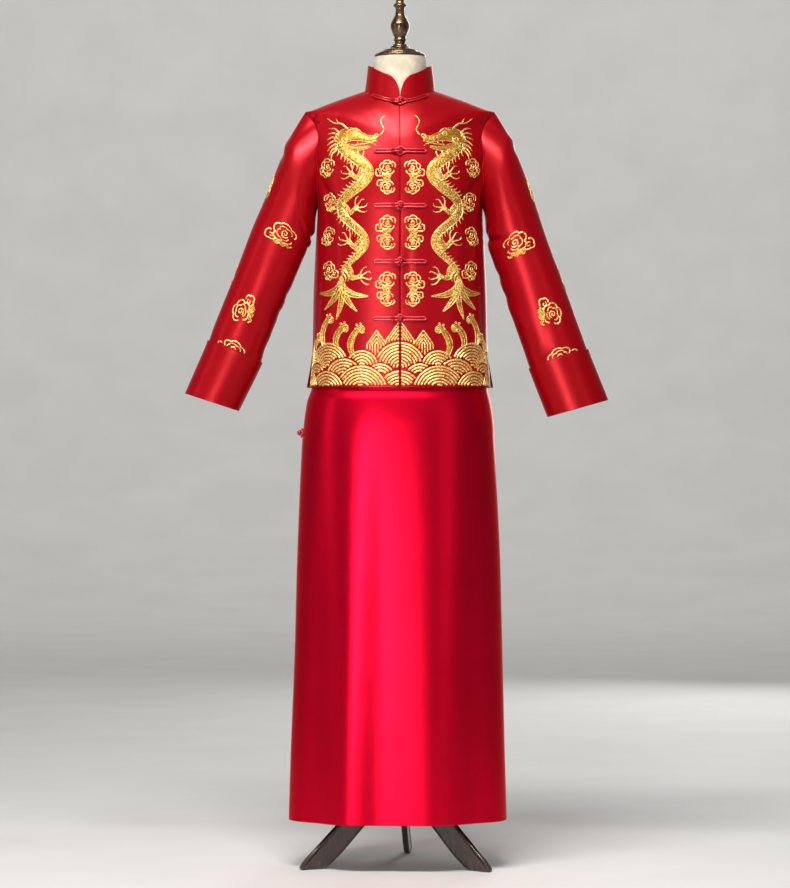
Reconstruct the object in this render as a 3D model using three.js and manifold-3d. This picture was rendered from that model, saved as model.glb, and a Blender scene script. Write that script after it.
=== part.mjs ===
// A groom's outfit on a limbless dress form: a short stand-collar jacket with frog closures and
// turned-back cuffs, worn over a long plain changshan robe. Millimetres, +Z up. The wearer faces -Y,
// so the wearer's left is +X. Heights are measured from the floor, widths from the pole's axis.
import * as THREE from 'three';
import { mergeVertices } from 'three/addons/utils/BufferGeometryUtils.js';
import Module from 'manifold-3d';

const wasm = await Module();
wasm.setup();

// A table's rows as objects, from its column names and its rows of values
function table(names, ...rows) {
  return rows.map((row) => Object.fromEntries(names.map((name, i) => [name, row[i]])));
}

// Cloth and seams
const CLOTH = 1.5; // wall of a panel
const CUFF_CLOTH = 2.2; // a cuff is doubled over and pressed
const COLLAR_CLOTH = 2.4; // a stand collar is stiffened
const SEAM = 0.3; // gap between neighbouring pieces
const ROBE_INSET = 6; // how far the robe lies inside the jacket
const FORM_INSET = 15; // how far the dress form lies inside the jacket

// The jacket, in rings from hem to neck. A ring has its own half width and height at the sides, and
// its depth and height at the front and back. Its roundness is 2 for an ellipse and more for a squarer
// ring, and pinch narrows it towards the shoulder tips. narrow and drop are the shares of an inner
// layer's inset that take in and lower the ring: the layers rest on each other at mid shoulder.
const JACKET = table(
  ['ring', 'sideX', 'sideZ', 'frontY', 'frontZ', 'backY', 'backZ', 'round', 'pinch', 'narrow', 'drop'],
  ['hem', 181, 953, -130, 951, 130, 953, 2.45, 0, 1, 0],
  ['vent', 174.5, 1040, -128, 1038, 126, 1040, 2.45, 0, 1, 0],
  ['waist', 173, 1130, -127, 1128, 122, 1130, 2.45, 0, 1, 0],
  ['ribs', 168.5, 1235, -127, 1230, 121, 1235, 2.4, 0, 1, 0],
  ['armpit', 165, 1310, -127, 1298, 121, 1312, 2.35, 0, 1, 0],
  ['armhole', 183, 1408, -122, 1374, 118, 1410, 2.2, 0.06, 1, 0.2],
  ['shoulder tip', 190, 1502, -108, 1446, 106, 1484, 2, 0.3, 1, 0.8],
  ['inside the tip', 178, 1506, -102, 1462, 99, 1498, 2, 0.28, 0.8, 0.6],
  ['mid shoulder', 128, 1525, -89, 1492, 84, 1529, 2, 0.18, 0.3, 0.2],
  ['neck', 70, 1545, -75, 1518, 62, 1552, 2, 0, 1, 1.1],
);
const ARMPIT = 4; // ring numbers in the table above
const TIP = 6;
const NECK = 9;
const SHOULDER_SPREAD = 1.3; // rings over which the turn at the shoulder tips spreads on the chest and back
const VENT_TOP = 1040; // the side vents open below this height
const VENT_FLARE = 6; // how far the back's edge stands out beside a vent
const VENT_FLARE_REACH = 0.7; // cosine of the angle from the side at which the flare has gone
const SPREAD_REACH = 0.6; // cosine of the angle from the side at which the tips' turn spreads in full

// The robe below the jacket, from its hem up. It hangs a little to the wearer's right.
const ROBE_SKIRT = table(
  ['ring', 'halfWidth', 'centreX', 'z', 'front', 'back', 'round'],
  ['hem', 216, -4, 95, -162, 160, 2.6],
  ['shin', 213, -4, 208, -159, 157, 2.6],
  ['knee', 206, -2.5, 448, -152, 150, 2.6],
  ['thigh', 202.5, -2.5, 604, -147, 145, 2.6],
  ['hip', 192.5, -3.5, 836, -139, 137, 2.55],
  ['high hip', 189.5, -2.5, 882, -136, 134, 2.5],
  ['below the jacket', 183, -2.5, 925, -130, 129, 2.45],
  ['jacket hem', 174.5, -1, 956, -123, 123, 2.45],
);
// Its long soft folds: a ridge where depth is positive, a trough where it is negative. Each is placed
// by its angle from the centre front towards the wearer's left, and fades out upwards.
const ROBE_FOLDS = table(
  ['angle', 'spread', 'depth', 'top'],
  [-76, 12, 4, 880],
  [-47, 14, -11, 905],
  [-22, 8, 5, 935],
  [-6, 6, -4, 890],
  [13, 9, 4, 930],
  [43, 14, -11, 895],
  [73, 12, 3, 860],
  [105, 10, -5, 820],
  [132, 9, 4, 900],
  [158, 10, -4, 760],
  [187, 12, 4, 880],
  [214, 9, -5, 900],
  [243, 11, 3, 820],
);
const FOLD_GROWTH = 0.8; // power of the share of the way down to the hem with which a fold deepens

// Armholes: half depth of the cut in front of and behind the side seam
const ARMHOLE_FRONT = 50;
const ARMHOLE_BACK = 56;
const ARMHOLE_HALF_HEIGHT = 97; // measured along the cloth
const ROBE_ARMHOLE_GROWTH = 4; // the robe's armholes are a little larger

// Sleeves, as sections from just outside the armhole to the end. Each has its outer and its inner
// edge as seen from the front, how far forward it hangs, and its half depth.
const SLEEVE_WEARERS_RIGHT = table(
  ['section', 'outerX', 'outerZ', 'innerX', 'innerZ', 'forward', 'halfDepth'],
  ['cap', 223, 1446, 168.5, 1290, 4, 57],
  ['below the armpit', 247, 1386, 170, 1264, 8, 56],
  ['upper arm', 269, 1330, 177, 1241, 11, 53],
  ['mid upper arm', 292, 1277, 187, 1222, 14, 50],
  ['elbow', 332, 1171, 227, 1128, 20, 47],
  ['forearm', 372, 1070, 270, 1026, 27, 45],
  ['cuff top', 380, 1046, 276, 1003, 29, 45],
  ['end', 424, 943, 321, 909, 36, 45],
);
const SLEEVE_WEARERS_LEFT = table(
  ['section', 'outerX', 'outerZ', 'innerX', 'innerZ', 'forward', 'halfDepth'],
  ['cap', 223, 1446, 170, 1290, 4, 57],
  ['below the armpit', 248, 1383, 172, 1258, 8, 56],
  ['upper arm', 271, 1318, 176, 1232, 11, 54],
  ['mid upper arm', 292, 1253, 185, 1205, 14, 51],
  ['elbow', 325, 1162, 212, 1124, 20, 48],
  ['forearm', 361, 1060, 248, 1021, 27, 46],
  ['cuff top', 372, 1029, 258, 991, 30, 46],
  ['end', 411, 930, 294, 897, 38, 46],
);
const CUFF_TOP = 7; // section numbers, counting the armhole as 0
const SLEEVE_END = 8;
const CUFF_LENGTH = 110; // from the cuff's top to the sleeve's end
const CUFF_FOLD = 3.5; // the cuff's fold hangs this far below the sleeve's end

// The stand collar: its height, how far it leans in, and its rounded front ends
const COLLAR_HEIGHT = 50;
const COLLAR_LEAN = 6;
const COLLAR_CORNER = 28; // width of each rounded end
const COLLAR_CORNER_POWER = 2.2;
const COLLAR_END_SHARE = 0.12; // share of the height that is left at the very front

// Frog closures of doubled cord. The ball knot is on the wearer's right half, the loop on the left.
const FROG_HEIGHTS = [1416, 1308, 1198, 1086];
const SIDE_FROG_HEIGHT = 862;
const FROG = {
  reach: 50, // from the middle to a strap's outer end
  sideReach: 38,
  cord: 2, // radius
  halfGap: 2.6, // from a strap's middle to each of its cords
  loop: 7.7, // radius of the loop round the ball
  ball: 4.9, // radius of the ball knot
  ballLift: 6.6, // the ball's centre above the cloth
  strapStart: 15, // where a strap lies down flat
  over: 5.2, // how much higher the knot's cords pass over the loop
};

// The dress form inside, below the jacket's rings, and its neck
const FORM_HIPS = table(
  ['halfWidth', 'z', 'halfDepth'],
  [112, 800, 78],
  [130, 806, 92],
  [144, 835, 103],
  [152, 900, 108],
  [154, 980, 108],
);
const FORM_NECK_BASE = {
  sideX: 74, sideZ: 1531, frontY: -66, frontZ: 1504, backY: 56, backZ: 1536, round: 2,
};
const FORM_NECK = table(
  ['radius', 'z'],
  [57.5, 1549],
  [54, 1568],
  [52.6, 1585],
  [50.6, 1612.7],
);

// The turned cap on the neck and its finial, as radius at each height
const CAP_TURNING = [
  [0, 1613], [50.5, 1613], [51.5, 1615.5], [50.5, 1618.5], [44, 1619.5], [43.5, 1622], [36, 1623.5],
  [34, 1627], [23, 1629.5], [19, 1632.5], [19, 1634], [15, 1635.5], [14, 1639], [0, 1639],
];
const FINIAL_TURNING = [
  [0, 1639.3], [11, 1639.3], [10.5, 1644], [13, 1647], [12.5, 1650], [10.5, 1652], [15, 1661],
  [18.8, 1672], [19, 1679], [15, 1688], [9.6, 1697], [8.5, 1708], [9, 1712], [13.4, 1715],
  [13, 1718.5], [8, 1722], [8.5, 1729], [7, 1737], [3, 1743], [0, 1744.5],
];

// The stand: a pole, a hub and three curved flat legs
const POLE_RADIUS = 13;
const HUB = { radius: 24, bottom: 106, top: 214, chamfer: 4 };
const LEG_THICKNESS = 12;
const LEG_AZIMUTHS = { right: 205, left: 325, back: 85 }; // degrees from +X
// The leg's outline in its own plane, as distance from the pole's axis and height
const LEG_INNER_END = 24.4;
const LEG_UPPER = [[60, 166], [100, 123], [141, 82], [179, 46], [201, 26], [212, 14], [217.5, 5]];
const LEG_LOWER = [[172, 0], [160, 5], [143, 18], [125, 34], [90, 70], [55, 106]];
const LEG_ROOT = { low: 128, high: 196 };

// Materials as seen
const RED_SATIN = new THREE.MeshStandardMaterial({ color: 0xb0001a, roughness: 0.35, metalness: 0 });
const RED_PIPING = new THREE.MeshStandardMaterial({ color: 0x9a0014, roughness: 0.4, metalness: 0 });
const LINEN = new THREE.MeshStandardMaterial({ color: 0xe6d8bb, roughness: 0.85, metalness: 0 });
const BRONZE = new THREE.MeshStandardMaterial({ color: 0x5b4128, roughness: 0.35, metalness: 0.7 });
const LACQUER = new THREE.MeshStandardMaterial({ color: 0x3a1a10, roughness: 0.3, metalness: 0 });

const outfit = new THREE.Group();

function addMesh(name, geometry, material, parent = outfit) {
  const mesh = new THREE.Mesh(geometry, material);
  mesh.name = name;
  parent.add(mesh);
  return mesh;
}

// Evenly spaced values from one end to the other, both included
function steps(from, to, count) {
  return Array.from({ length: count + 1 }, (_, i) => from + ((to - from) * i) / count);
}

// A smooth curve through evenly numbered values that never overshoots them
function smooth(values) {
  const last = values.length - 1;
  const rise = values.slice(1).map((value, i) => value - values[i]);
  const slope = values.map((_, i) => {
    if (i === 0) return rise[0];
    if (i === last) return rise[last - 1];
    const turn = rise[i - 1] * rise[i];
    return turn <= 0 ? 0 : (2 * turn) / (rise[i - 1] + rise[i]);
  });
  return (s) => {
    const i = Math.min(Math.max(Math.floor(s), 0), last - 1);
    const t = s - i;
    const keep = 1 - 3 * t * t + 2 * t ** 3;
    return (
      values[i] * keep +
      values[i + 1] * (1 - keep) +
      slope[i] * (t - 2 * t * t + t ** 3) +
      slope[i + 1] * (t ** 3 - t * t)
    );
  };
}

// The value between two others at which a rising quantity stops being too low
function halve(from, to, tooLow) {
  let [low, high] = [from, to];
  for (let i = 0; i < 40; i += 1) {
    const middle = (low + high) / 2;
    if (tooLow(middle)) low = middle;
    else high = middle;
  }
  return low;
}

const signedPower = (value, power) => Math.sign(value) * Math.abs(value) ** power;

// A layer of the outfit: a surface over an angle from the centre front and a ring number. tip is the
// shoulder tips' ring, and relief is how far a point stands out from the plain rings.
function makeLayer(rings, tip, relief = () => 0) {
  const names = ['sideX', 'sideZ', 'frontY', 'frontZ', 'backY', 'backZ', 'round', 'pinch', 'centreX'];
  const curve = {};
  for (const name of names) curve[name] = smooth(rings.map((ring) => ring[name] ?? 0));
  const top = rings.length - 1;

  // A column at the sides is followed as it is. Towards the chest and back it is averaged over the
  // neighbouring rings, so that only the shoulder tips have a corner.
  function spreadOut(column, angle, s) {
    const fromArmpit = s - (tip - (TIP - ARMPIT));
    const toNeck = tip + (NECK - TIP) - s;
    const share = Math.min(1, Math.abs(Math.cos(angle)) / SPREAD_REACH);
    const reach = Math.max(0, Math.min(SHOULDER_SPREAD, fromArmpit, toNeck)) * share;
    const around = steps(-reach, reach, 6).map((offset) => curve[column](s + offset));
    return around.reduce((sum, value) => sum + value, 0) / around.length;
  }

  // A ring's shares of its half width and of its depth at an angle, with the angle's signs
  function shares(angle, s) {
    const power = 2 / curve.round(s);
    const pinch = curve.pinch(s);
    return {
      across: signedPower(Math.sin(angle), power) * (1 - pinch * Math.cos(angle) ** 2),
      along: signedPower(Math.cos(angle), power * (1 + pinch)),
    };
  }

  function at(angle, s) {
    const { across, along } = shares(angle, s);
    const end = along > 0 ? 'front' : 'back';
    const sideZ = spreadOut('sideZ', angle, s);
    const z = sideZ + (curve[`${end}Z`](s) - sideZ) * along * along;
    const out = relief(angle, z);
    return new THREE.Vector3(
      curve.centreX(s) + spreadOut('sideX', angle, s) * across + out * Math.sin(angle),
      curve[`${end}Y`](s) * Math.abs(along) - out * Math.cos(angle),
      z,
    );
  }

  function lifted(angle, s, lift) {
    const step = 1e-3;
    const low = Math.max(s - step, 0);
    const high = Math.min(s + step, top);
    const around = at(angle + step, s).sub(at(angle - step, s));
    const upward = at(angle, high).sub(at(angle, low));
    return at(angle, s).addScaledVector(around.cross(upward).normalize(), lift);
  }

  // The angle of a point at x on the front, or at y anywhere, on the wearer's left
  function angleAtX(s, x) {
    const reached = (angle) => spreadOut('sideX', angle, s) * shares(angle, s).across;
    return halve(0, Math.PI / 2, (angle) => reached(angle) < Math.abs(x));
  }
  function angleAtY(s, y) {
    const share = y / Math.abs(curve[y < 0 ? 'frontY' : 'backY'](s));
    return halve(0, Math.PI, (angle) => -shares(angle, s).along < share);
  }

  // The ring number at which the surface reaches a height, for an angle that may depend on the ring
  const ringAtHeight = (z, angleOf) => halve(0, top, (s) => at(angleOf(s), s).z < z);
  const onFront = (x, z, lift) => {
    const angleOf = (s) => Math.sign(x) * angleAtX(s, x);
    const s = ringAtHeight(z, angleOf);
    return lifted(angleOf(s), s, lift);
  };
  const onRightSide = (y, z, lift) => {
    const angleOf = (s) => -angleAtY(s, y);
    const s = ringAtHeight(z, angleOf);
    return lifted(angleOf(s), s, lift);
  };
  return { at, lifted, angleAtX, angleAtY, onFront, onRightSide };
}

// The same rings moved in, for a layer worn underneath
function insetRings(rings, inset) {
  return rings.map((ring) => ({
    ...ring,
    sideX: ring.sideX - inset * ring.narrow,
    frontY: ring.frontY + inset * ring.narrow,
    backY: ring.backY - inset * ring.narrow,
    sideZ: ring.sideZ - inset * ring.drop,
    frontZ: ring.frontZ - inset * ring.drop,
    backZ: ring.backZ - inset * ring.drop,
  }));
}

// A closed wall between an outer and an inner grid of points. Columns run to the right and rows
// upwards as seen from outside. A tube's columns wrap round.
function wall(outer, inner, wraps = false) {
  const rows = outer.length;
  const top = rows - 1;
  const columns = outer[0].length;
  const corners = [...outer.flat(), ...inner.flat()];
  const index = [];
  const outside = (row, column) => row * columns + (column % columns);
  const inside = (row, column) => rows * columns + outside(row, column);
  const quad = (a, b, c, d) => index.push(a, b, c, a, c, d);
  const lastColumn = wraps ? columns : columns - 1;
  for (let column = 0; column < lastColumn; column += 1) {
    const next = column + 1;
    for (let row = 0; row < top; row += 1) {
      quad(outside(row, column), outside(row, next), outside(row + 1, next), outside(row + 1, column));
      quad(inside(row, column), inside(row + 1, column), inside(row + 1, next), inside(row, next));
    }
    quad(outside(0, next), outside(0, column), inside(0, column), inside(0, next));
    quad(outside(top, column), outside(top, next), inside(top, next), inside(top, column));
  }
  const last = lastColumn;
  for (let row = 0; row < top && !wraps; row += 1) {
    quad(outside(row, 0), outside(row + 1, 0), inside(row + 1, 0), inside(row, 0));
    quad(outside(row + 1, last), outside(row, last), inside(row, last), inside(row + 1, last));
  }
  return geometryOf(corners, index);
}

function geometryOf(corners, index) {
  const geometry = new THREE.BufferGeometry();
  const places = corners.flatMap((corner) => [corner.x, corner.y, corner.z]);
  geometry.setAttribute('position', new THREE.Float32BufferAttribute(places, 3));
  geometry.setIndex(index);
  geometry.computeVertexNormals();
  return geometry;
}

// A solid through closed rings of points, counterclockwise from above and listed upwards
function loft(rings) {
  const columns = rings[0].length;
  const corners = rings.flat();
  const index = [];
  for (let row = 0; row < rings.length - 1; row += 1) {
    for (let column = 0; column < columns; column += 1) {
      const [a, b] = [row * columns + column, row * columns + ((column + 1) % columns)];
      index.push(a, b, b + columns, a, b + columns, a + columns);
    }
  }
  const top = (rings.length - 1) * columns;
  for (let column = 1; column < columns - 1; column += 1) {
    index.push(0, column + 1, column, top, top + column, top + column + 1);
  }
  return geometryOf(corners, index);
}

// One panel: rows are ring numbers with the angles they run between
function panel(layer, rows, columns) {
  const rowOf = ({ s, from, to }, lift) => steps(from, to, columns).map((a) => layer.lifted(a, s, lift));
  const grid = (lift) => rows.map((row) => rowOf(row, lift));
  return wall(grid(0), grid(-CLOTH));
}

// The armhole's outline: turn is 0 at the shoulder tip, half a turn at the armpit, and the front
// edge lies between them. inset shrinks it.
function armholeCut(cut, turn, inset = 0) {
  const halfHeight = (cut.tip - cut.armpit) / 2;
  const middle = (cut.tip + cut.armpit) / 2;
  const s = middle + halfHeight * Math.cos(turn) * (1 - inset / ARMHOLE_HALF_HEIGHT);
  const halfDepth = (Math.sin(turn) > 0 ? ARMHOLE_FRONT : ARMHOLE_BACK) + cut.growth - inset;
  return { s, y: -halfDepth * Math.sin(turn) };
}

// Ring numbers for a panel's rows, each with where its edge at the side lies, front and back
function cutRows(cut, below, armholeRows, above) {
  const edge = Math.PI;
  const inArmhole = steps(edge, 0, armholeRows).map((turn) => ({
    s: armholeCut(cut, turn).s,
    front: armholeCut(cut, turn).y,
    back: armholeCut(cut, 2 * Math.PI - turn).y,
  }));
  const plain = (s) => ({ s, front: 0, back: 0 });
  const rows = [...below.map(plain), ...inArmhole, ...above.map(plain)];
  return rows.map(({ s, front, back }) => ({
    s,
    front: Math.min(front, -SEAM / 2),
    back: Math.max(back, SEAM / 2),
  }));
}

const jacket = makeLayer(JACKET, TIP);
const jacketCut = { armpit: ARMPIT, tip: TIP, growth: 0 };
const jacketRows = cutRows(jacketCut, [0, 0.5, 1, 2, 3, 3.6], 9, [6.6, 7, 7.5, 8, 8.5, 9]);

function ventFlare(angle, z) {
  const belowVent = Math.max(0, (VENT_TOP - z) / (VENT_TOP - JACKET[0].sideZ));
  const fromSide = Math.max(0, 1 - (Math.abs(Math.cos(angle)) / VENT_FLARE_REACH) ** 2);
  return VENT_FLARE * belowVent ** 1.5 * fromSide;
}
const jacketBack = makeLayer(JACKET, TIP, ventFlare);

function buildJacketBody() {
  const leftRows = jacketRows.map(({ s, front }) => ({
    s,
    from: jacket.angleAtX(s, SEAM / 2),
    to: jacket.angleAtY(s, front),
  }));
  const rightRows = leftRows.map(({ s, from, to }) => ({ s, from: -to, to: -from }));
  const backRows = jacketRows.map(({ s, back }) => {
    const side = jacket.angleAtY(s, back);
    return { s, from: side, to: 2 * Math.PI - side };
  });
  addMesh('jacket_front_left', panel(jacket, leftRows, 10), RED_SATIN);
  addMesh('jacket_front_right', panel(jacket, rightRows, 10), RED_SATIN);
  addMesh('jacket_back', panel(jacketBack, backRows, 18), RED_SATIN);
}

// A sleeve's outer surface over a turn round it and a section number, 0 at the armhole
function sleeveSurface(side, sections) {
  const ROOT_LIFT = 0.5;
  const ROOT_INSET = 0.4;
  function sectionPoint(section, turn) {
    const [out, front] = [Math.cos(turn), Math.sin(turn)];
    return new THREE.Vector3(
      side * ((section.outerX + section.innerX) / 2 + ((section.outerX - section.innerX) / 2) * out),
      -section.forward - section.halfDepth * front,
      (section.outerZ + section.innerZ) / 2 + ((section.outerZ - section.innerZ) / 2) * out,
    );
  }
  function rootPoint(turn) {
    const { s, y } = armholeCut(jacketCut, turn, ROOT_INSET);
    return jacket.lifted(side * jacket.angleAtY(s, y), s, ROOT_LIFT);
  }
  return (turn) => {
    const points = [rootPoint(turn), ...sections.map((section) => sectionPoint(section, turn))];
    const [x, y, z] = ['x', 'y', 'z'].map((axis) => smooth(points.map((point) => point[axis])));
    return (s) => new THREE.Vector3(x(s), y(s), z(s));
  };
}

// Rows of a tube's points, with its walls moved out by two lifts
function tube(surface, side, turns, sectionNumbers, outerLift, innerLift) {
  const step = 1e-3;
  const point = (turn, s, lift) => {
    const line = surface(turn);
    const around = surface(turn + step)(s).sub(surface(turn - step)(s));
    const along = line(s + step).sub(line(Math.max(s - step, 0)));
    const normal = around.cross(along).normalize().multiplyScalar(side);
    return line(s).addScaledVector(normal, lift);
  };
  const grid = (lift) => sectionNumbers.map((s) => turns.map((turn) => point(turn, s, lift)));
  return wall(grid(outerLift), grid(innerLift), true);
}

function buildSleeve(name, side, sections) {
  const surface = sleeveSurface(side, sections);
  const pointsRound = 18;
  const turns = steps(0, side * 2 * Math.PI, pointsRound).slice(0, -1);
  const rows = [0, 0.5, 1, 1.5, 2, 3, 4, 4.5, 5, 6, CUFF_TOP, CUFF_TOP + 0.5, SLEEVE_END];
  addMesh(`sleeve_${name}`, tube(surface, side, turns, rows, 0, -CLOTH), RED_SATIN);
  const foldedEnd = SLEEVE_END + CUFF_FOLD / CUFF_LENGTH;
  const cuffRows = [CUFF_TOP, CUFF_TOP + 0.5, SLEEVE_END, foldedEnd];
  addMesh(`cuff_${name}`, tube(surface, side, turns, cuffRows, SEAM + CUFF_CLOTH, SEAM), RED_SATIN);
}

function buildCollar() {
  const end = jacket.angleAtX(NECK, SEAM / 2);
  const angles = steps(end, 2 * Math.PI - end, 34);
  const cornerShare = (x) => {
    const inCorner = Math.min(1, Math.abs(x) / COLLAR_CORNER);
    return (1 - (1 - inCorner) ** COLLAR_CORNER_POWER) ** (1 / COLLAR_CORNER_POWER);
  };
  const place = (angle, share, lift) => {
    const base = jacket.at(angle, NECK);
    const inFront = Math.cos(angle) > 0;
    const height = COLLAR_HEIGHT * share * (inFront ? Math.max(cornerShare(base.x), COLLAR_END_SHARE) : 1);
    const lean = (COLLAR_LEAN * height) / COLLAR_HEIGHT;
    const outward = new THREE.Vector3(Math.sin(angle), -Math.cos(angle), 0);
    return base.addScaledVector(outward, lift - lean).add(new THREE.Vector3(0, 0, 0.5 + height));
  };
  const grid = (lift) => [0, 0.5, 1].map((share) => angles.map((angle) => place(angle, share, lift)));
  addMesh('collar', wall(grid(0), grid(-COLLAR_CLOTH)), RED_SATIN);
}

// A closed cord through points given as distance from the centre, height across and lift
function cordLoop(place, points, segments) {
  const curve = new THREE.CatmullRomCurve3(points.map(([u, w, lift]) => place(u, w, lift)), true);
  return new THREE.TubeGeometry(curve, segments, FROG.cord, 5, true);
}

function asManifold(geometry) {
  const bare = geometry.clone();
  bare.deleteAttribute('normal');
  bare.deleteAttribute('uv');
  const merged = mergeVertices(bare, 1e-3);
  return new wasm.Manifold(
    new wasm.Mesh({
      numProp: 3,
      vertProperties: new Float32Array(merged.attributes.position.array),
      triVerts: new Uint32Array(merged.index.array),
    }),
  );
}

function joined(a, b) {
  const mesh = asManifold(a).add(asManifold(b)).getMesh();
  const geometry = new THREE.BufferGeometry();
  geometry.setAttribute('position', new THREE.BufferAttribute(mesh.vertProperties, 3));
  geometry.setIndex(new THREE.BufferAttribute(mesh.triVerts, 1));
  geometry.computeVertexNormals();
  return geometry;
}

// One frog: place(u, w, lift) gives the point u to the loop's side, w up and lift off the cloth
function buildFrog(name, place, reach) {
  const { cord, halfGap, loop, ball, ballLift, strapStart } = FROG;
  const flat = SEAM + cord;
  const strap = (from) => [from, (from + reach) / 2, reach - 2].map((u) => [u, halfGap, flat]);
  const mirrored = (points) => points.map(([u, w, lift]) => [u, -w, lift]).reverse();
  const loopSide = [[-loop, 0, flat], [0, loop, flat], [loop + 1, halfGap + 0.8, flat], ...strap(strapStart)];
  const loopPoints = [...loopSide, [reach + 1, 0, flat], ...mirrored(loopSide.slice(1))];
  addMesh(`${name}_loop`, cordLoop(place, loopPoints, 24), RED_PIPING);

  const over = flat + FROG.over;
  const bridge = [[4, over], [9, over], [13, flat + 2.4]].map(([u, lift]) => [u, halfGap, lift]);
  const knotSide = [...bridge, ...strap(strapStart + 4)];
  const knotPoints = [...knotSide, [reach + 1, 0, flat], ...mirrored(knotSide), [0.5, 0, over]];
  const facingOut = (u, w, lift) => place(-u, w, lift);
  const knot = new THREE.SphereGeometry(ball, 8, 6);
  const [left, right] = [place(-loop, 0, flat), place(loop, 0, flat)];
  const [low, high] = [place(0, -loop, flat), place(0, loop, flat)];
  const offCloth = right.clone().sub(left).cross(high.clone().sub(low)).normalize();
  const middle = left.add(right).add(low).add(high).divideScalar(4);
  const centre = middle.addScaledVector(offCloth, ballLift - flat);
  knot.translate(centre.x, centre.y, centre.z);
  addMesh(`${name}_knot`, joined(cordLoop(facingOut, knotPoints, 26), knot), RED_PIPING);
}

// The neck's frog lies along the collar's seam: its upper cord on the collar, its lower on the fronts.
// What passes over the loop stands straight out, so that the two cords keep apart in the corner.
function neckPlace(u, w, lift) {
  const angle = Math.sign(u) * jacket.angleAtX(NECK, u);
  const aboveSeam = w - 1;
  const ringHeight = 27; // distance down the fronts that one ring number stands for, next to the seam
  const clear = 0.5; // the seam's corner keeps the cord a little further off
  const outward = new THREE.Vector3(Math.sin(angle), -Math.cos(angle), 0);
  const upward = new THREE.Vector3(0, 0, 1);
  const onCloth = Math.min(lift, SEAM + FROG.cord);
  const seat = onCloth + clear;
  const place =
    aboveSeam < 0
      ? jacket.lifted(angle, NECK + aboveSeam / ringHeight, seat)
      : jacket.at(angle, NECK).addScaledVector(outward, seat).addScaledVector(upward, aboveSeam + clear);
  return place.addScaledVector(outward, lift - onCloth);
}

function buildFrogs() {
  buildFrog('frog_neck', neckPlace, FROG.reach);
  FROG_HEIGHTS.forEach((height, i) => {
    const place = (u, w, lift) => jacket.onFront(u, height + w, lift);
    buildFrog(`frog_front_${i + 1}`, place, FROG.reach);
  });
  const sidePlace = (u, w, lift) => robe.onRightSide(-u, SIDE_FROG_HEIGHT + w, lift);
  buildFrog('frog_side', sidePlace, FROG.sideReach);
}

// How far the robe's cloth stands out in its folds
function robeFolds(angle, z) {
  const hem = ROBE_SKIRT[0].z;
  let out = 0;
  for (const fold of ROBE_FOLDS) {
    const turn = THREE.MathUtils.radToDeg(angle) - fold.angle;
    const away = (turn - 360 * Math.round(turn / 360)) / fold.spread;
    const grown = Math.max(0, (fold.top - z) / (fold.top - hem));
    out += fold.depth * grown ** FOLD_GROWTH * Math.exp(-away * away);
  }
  return out;
}

const robeSkirt = ROBE_SKIRT.map(({ halfWidth, centreX, z, front, back, round }) => ({
  sideX: halfWidth, centreX, sideZ: z, frontY: front, frontZ: z, backY: back, backZ: z, round,
}));
const robeFirst = ROBE_SKIRT.length - 1; // the jacket's ring 1 follows the skirt's last ring
const robeRings = [...robeSkirt, ...insetRings(JACKET.slice(1), ROBE_INSET)];
const robe = makeLayer(robeRings, robeFirst + TIP, robeFolds);
const robeCut = { armpit: robeFirst + ARMPIT, tip: robeFirst + TIP, growth: ROBE_ARMHOLE_GROWTH };

function buildRobe() {
  const below = [0, 1, 2, 3, 4, 5, 6, 7, 8, 10];
  const above = [robeFirst + 7, robeFirst + 8, robeFirst + 8.6];
  const rows = cutRows(robeCut, below, 5, above);
  const frontRows = rows.map(({ s, front }) => {
    const side = robe.angleAtY(s, front);
    return { s, from: -side, to: side };
  });
  const backRows = rows.map(({ s, back }) => {
    const side = robe.angleAtY(s, back);
    return { s, from: side, to: 2 * Math.PI - side };
  });
  addMesh('robe_front', panel(robe, frontRows, 18), RED_SATIN);
  addMesh('robe_back', panel(robe, backRows, 18), RED_SATIN);
}

// The dress form: hips, the jacket's own rings moved well in, and a round neck
function buildForm() {
  const ring = (halfWidth, halfDepth, z, round) => ({
    sideX: halfWidth, sideZ: z, frontY: -halfDepth, frontZ: z, backY: halfDepth, backZ: z, round,
  });
  const hips = FORM_HIPS.map(({ halfWidth, z, halfDepth }) => ring(halfWidth, halfDepth, z, 2.3));
  const column = FORM_NECK.map(({ radius, z }) => ring(radius, radius, z, 2));
  const neck = [FORM_NECK_BASE, ...column];
  const body = insetRings(JACKET.slice(2, NECK), FORM_INSET);
  const form = makeLayer([...hips, ...body, ...neck], hips.length + TIP - 2);
  const angles = steps(0, 2 * Math.PI, 20).slice(0, -1);
  const rings = [...hips, ...body, ...neck].map((_, s) => angles.map((angle) => form.at(angle, s)));
  addMesh('dress_form', loft(rings), LINEN);
}

function turned(profile, segments) {
  const points = profile.map(([radius, z]) => new THREE.Vector2(radius, z));
  return new THREE.LatheGeometry(points, segments).rotateX(Math.PI / 2);
}

function legGeometry() {
  const outline = new THREE.Shape();
  outline.moveTo(LEG_INNER_END, LEG_ROOT.high);
  outline.splineThru(LEG_UPPER.map(([x, z]) => new THREE.Vector2(x, z)));
  outline.lineTo(LEG_UPPER.at(-1)[0] - 2, 0);
  outline.lineTo(...LEG_LOWER[0]);
  outline.splineThru(LEG_LOWER.slice(1).map(([x, z]) => new THREE.Vector2(x, z)));
  outline.lineTo(LEG_INNER_END, LEG_ROOT.low);
  const options = { depth: LEG_THICKNESS, bevelEnabled: false, curveSegments: 2 };
  const leg = new THREE.ExtrudeGeometry(outline, options);
  return leg.translate(0, 0, -LEG_THICKNESS / 2).rotateX(Math.PI / 2);
}

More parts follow.
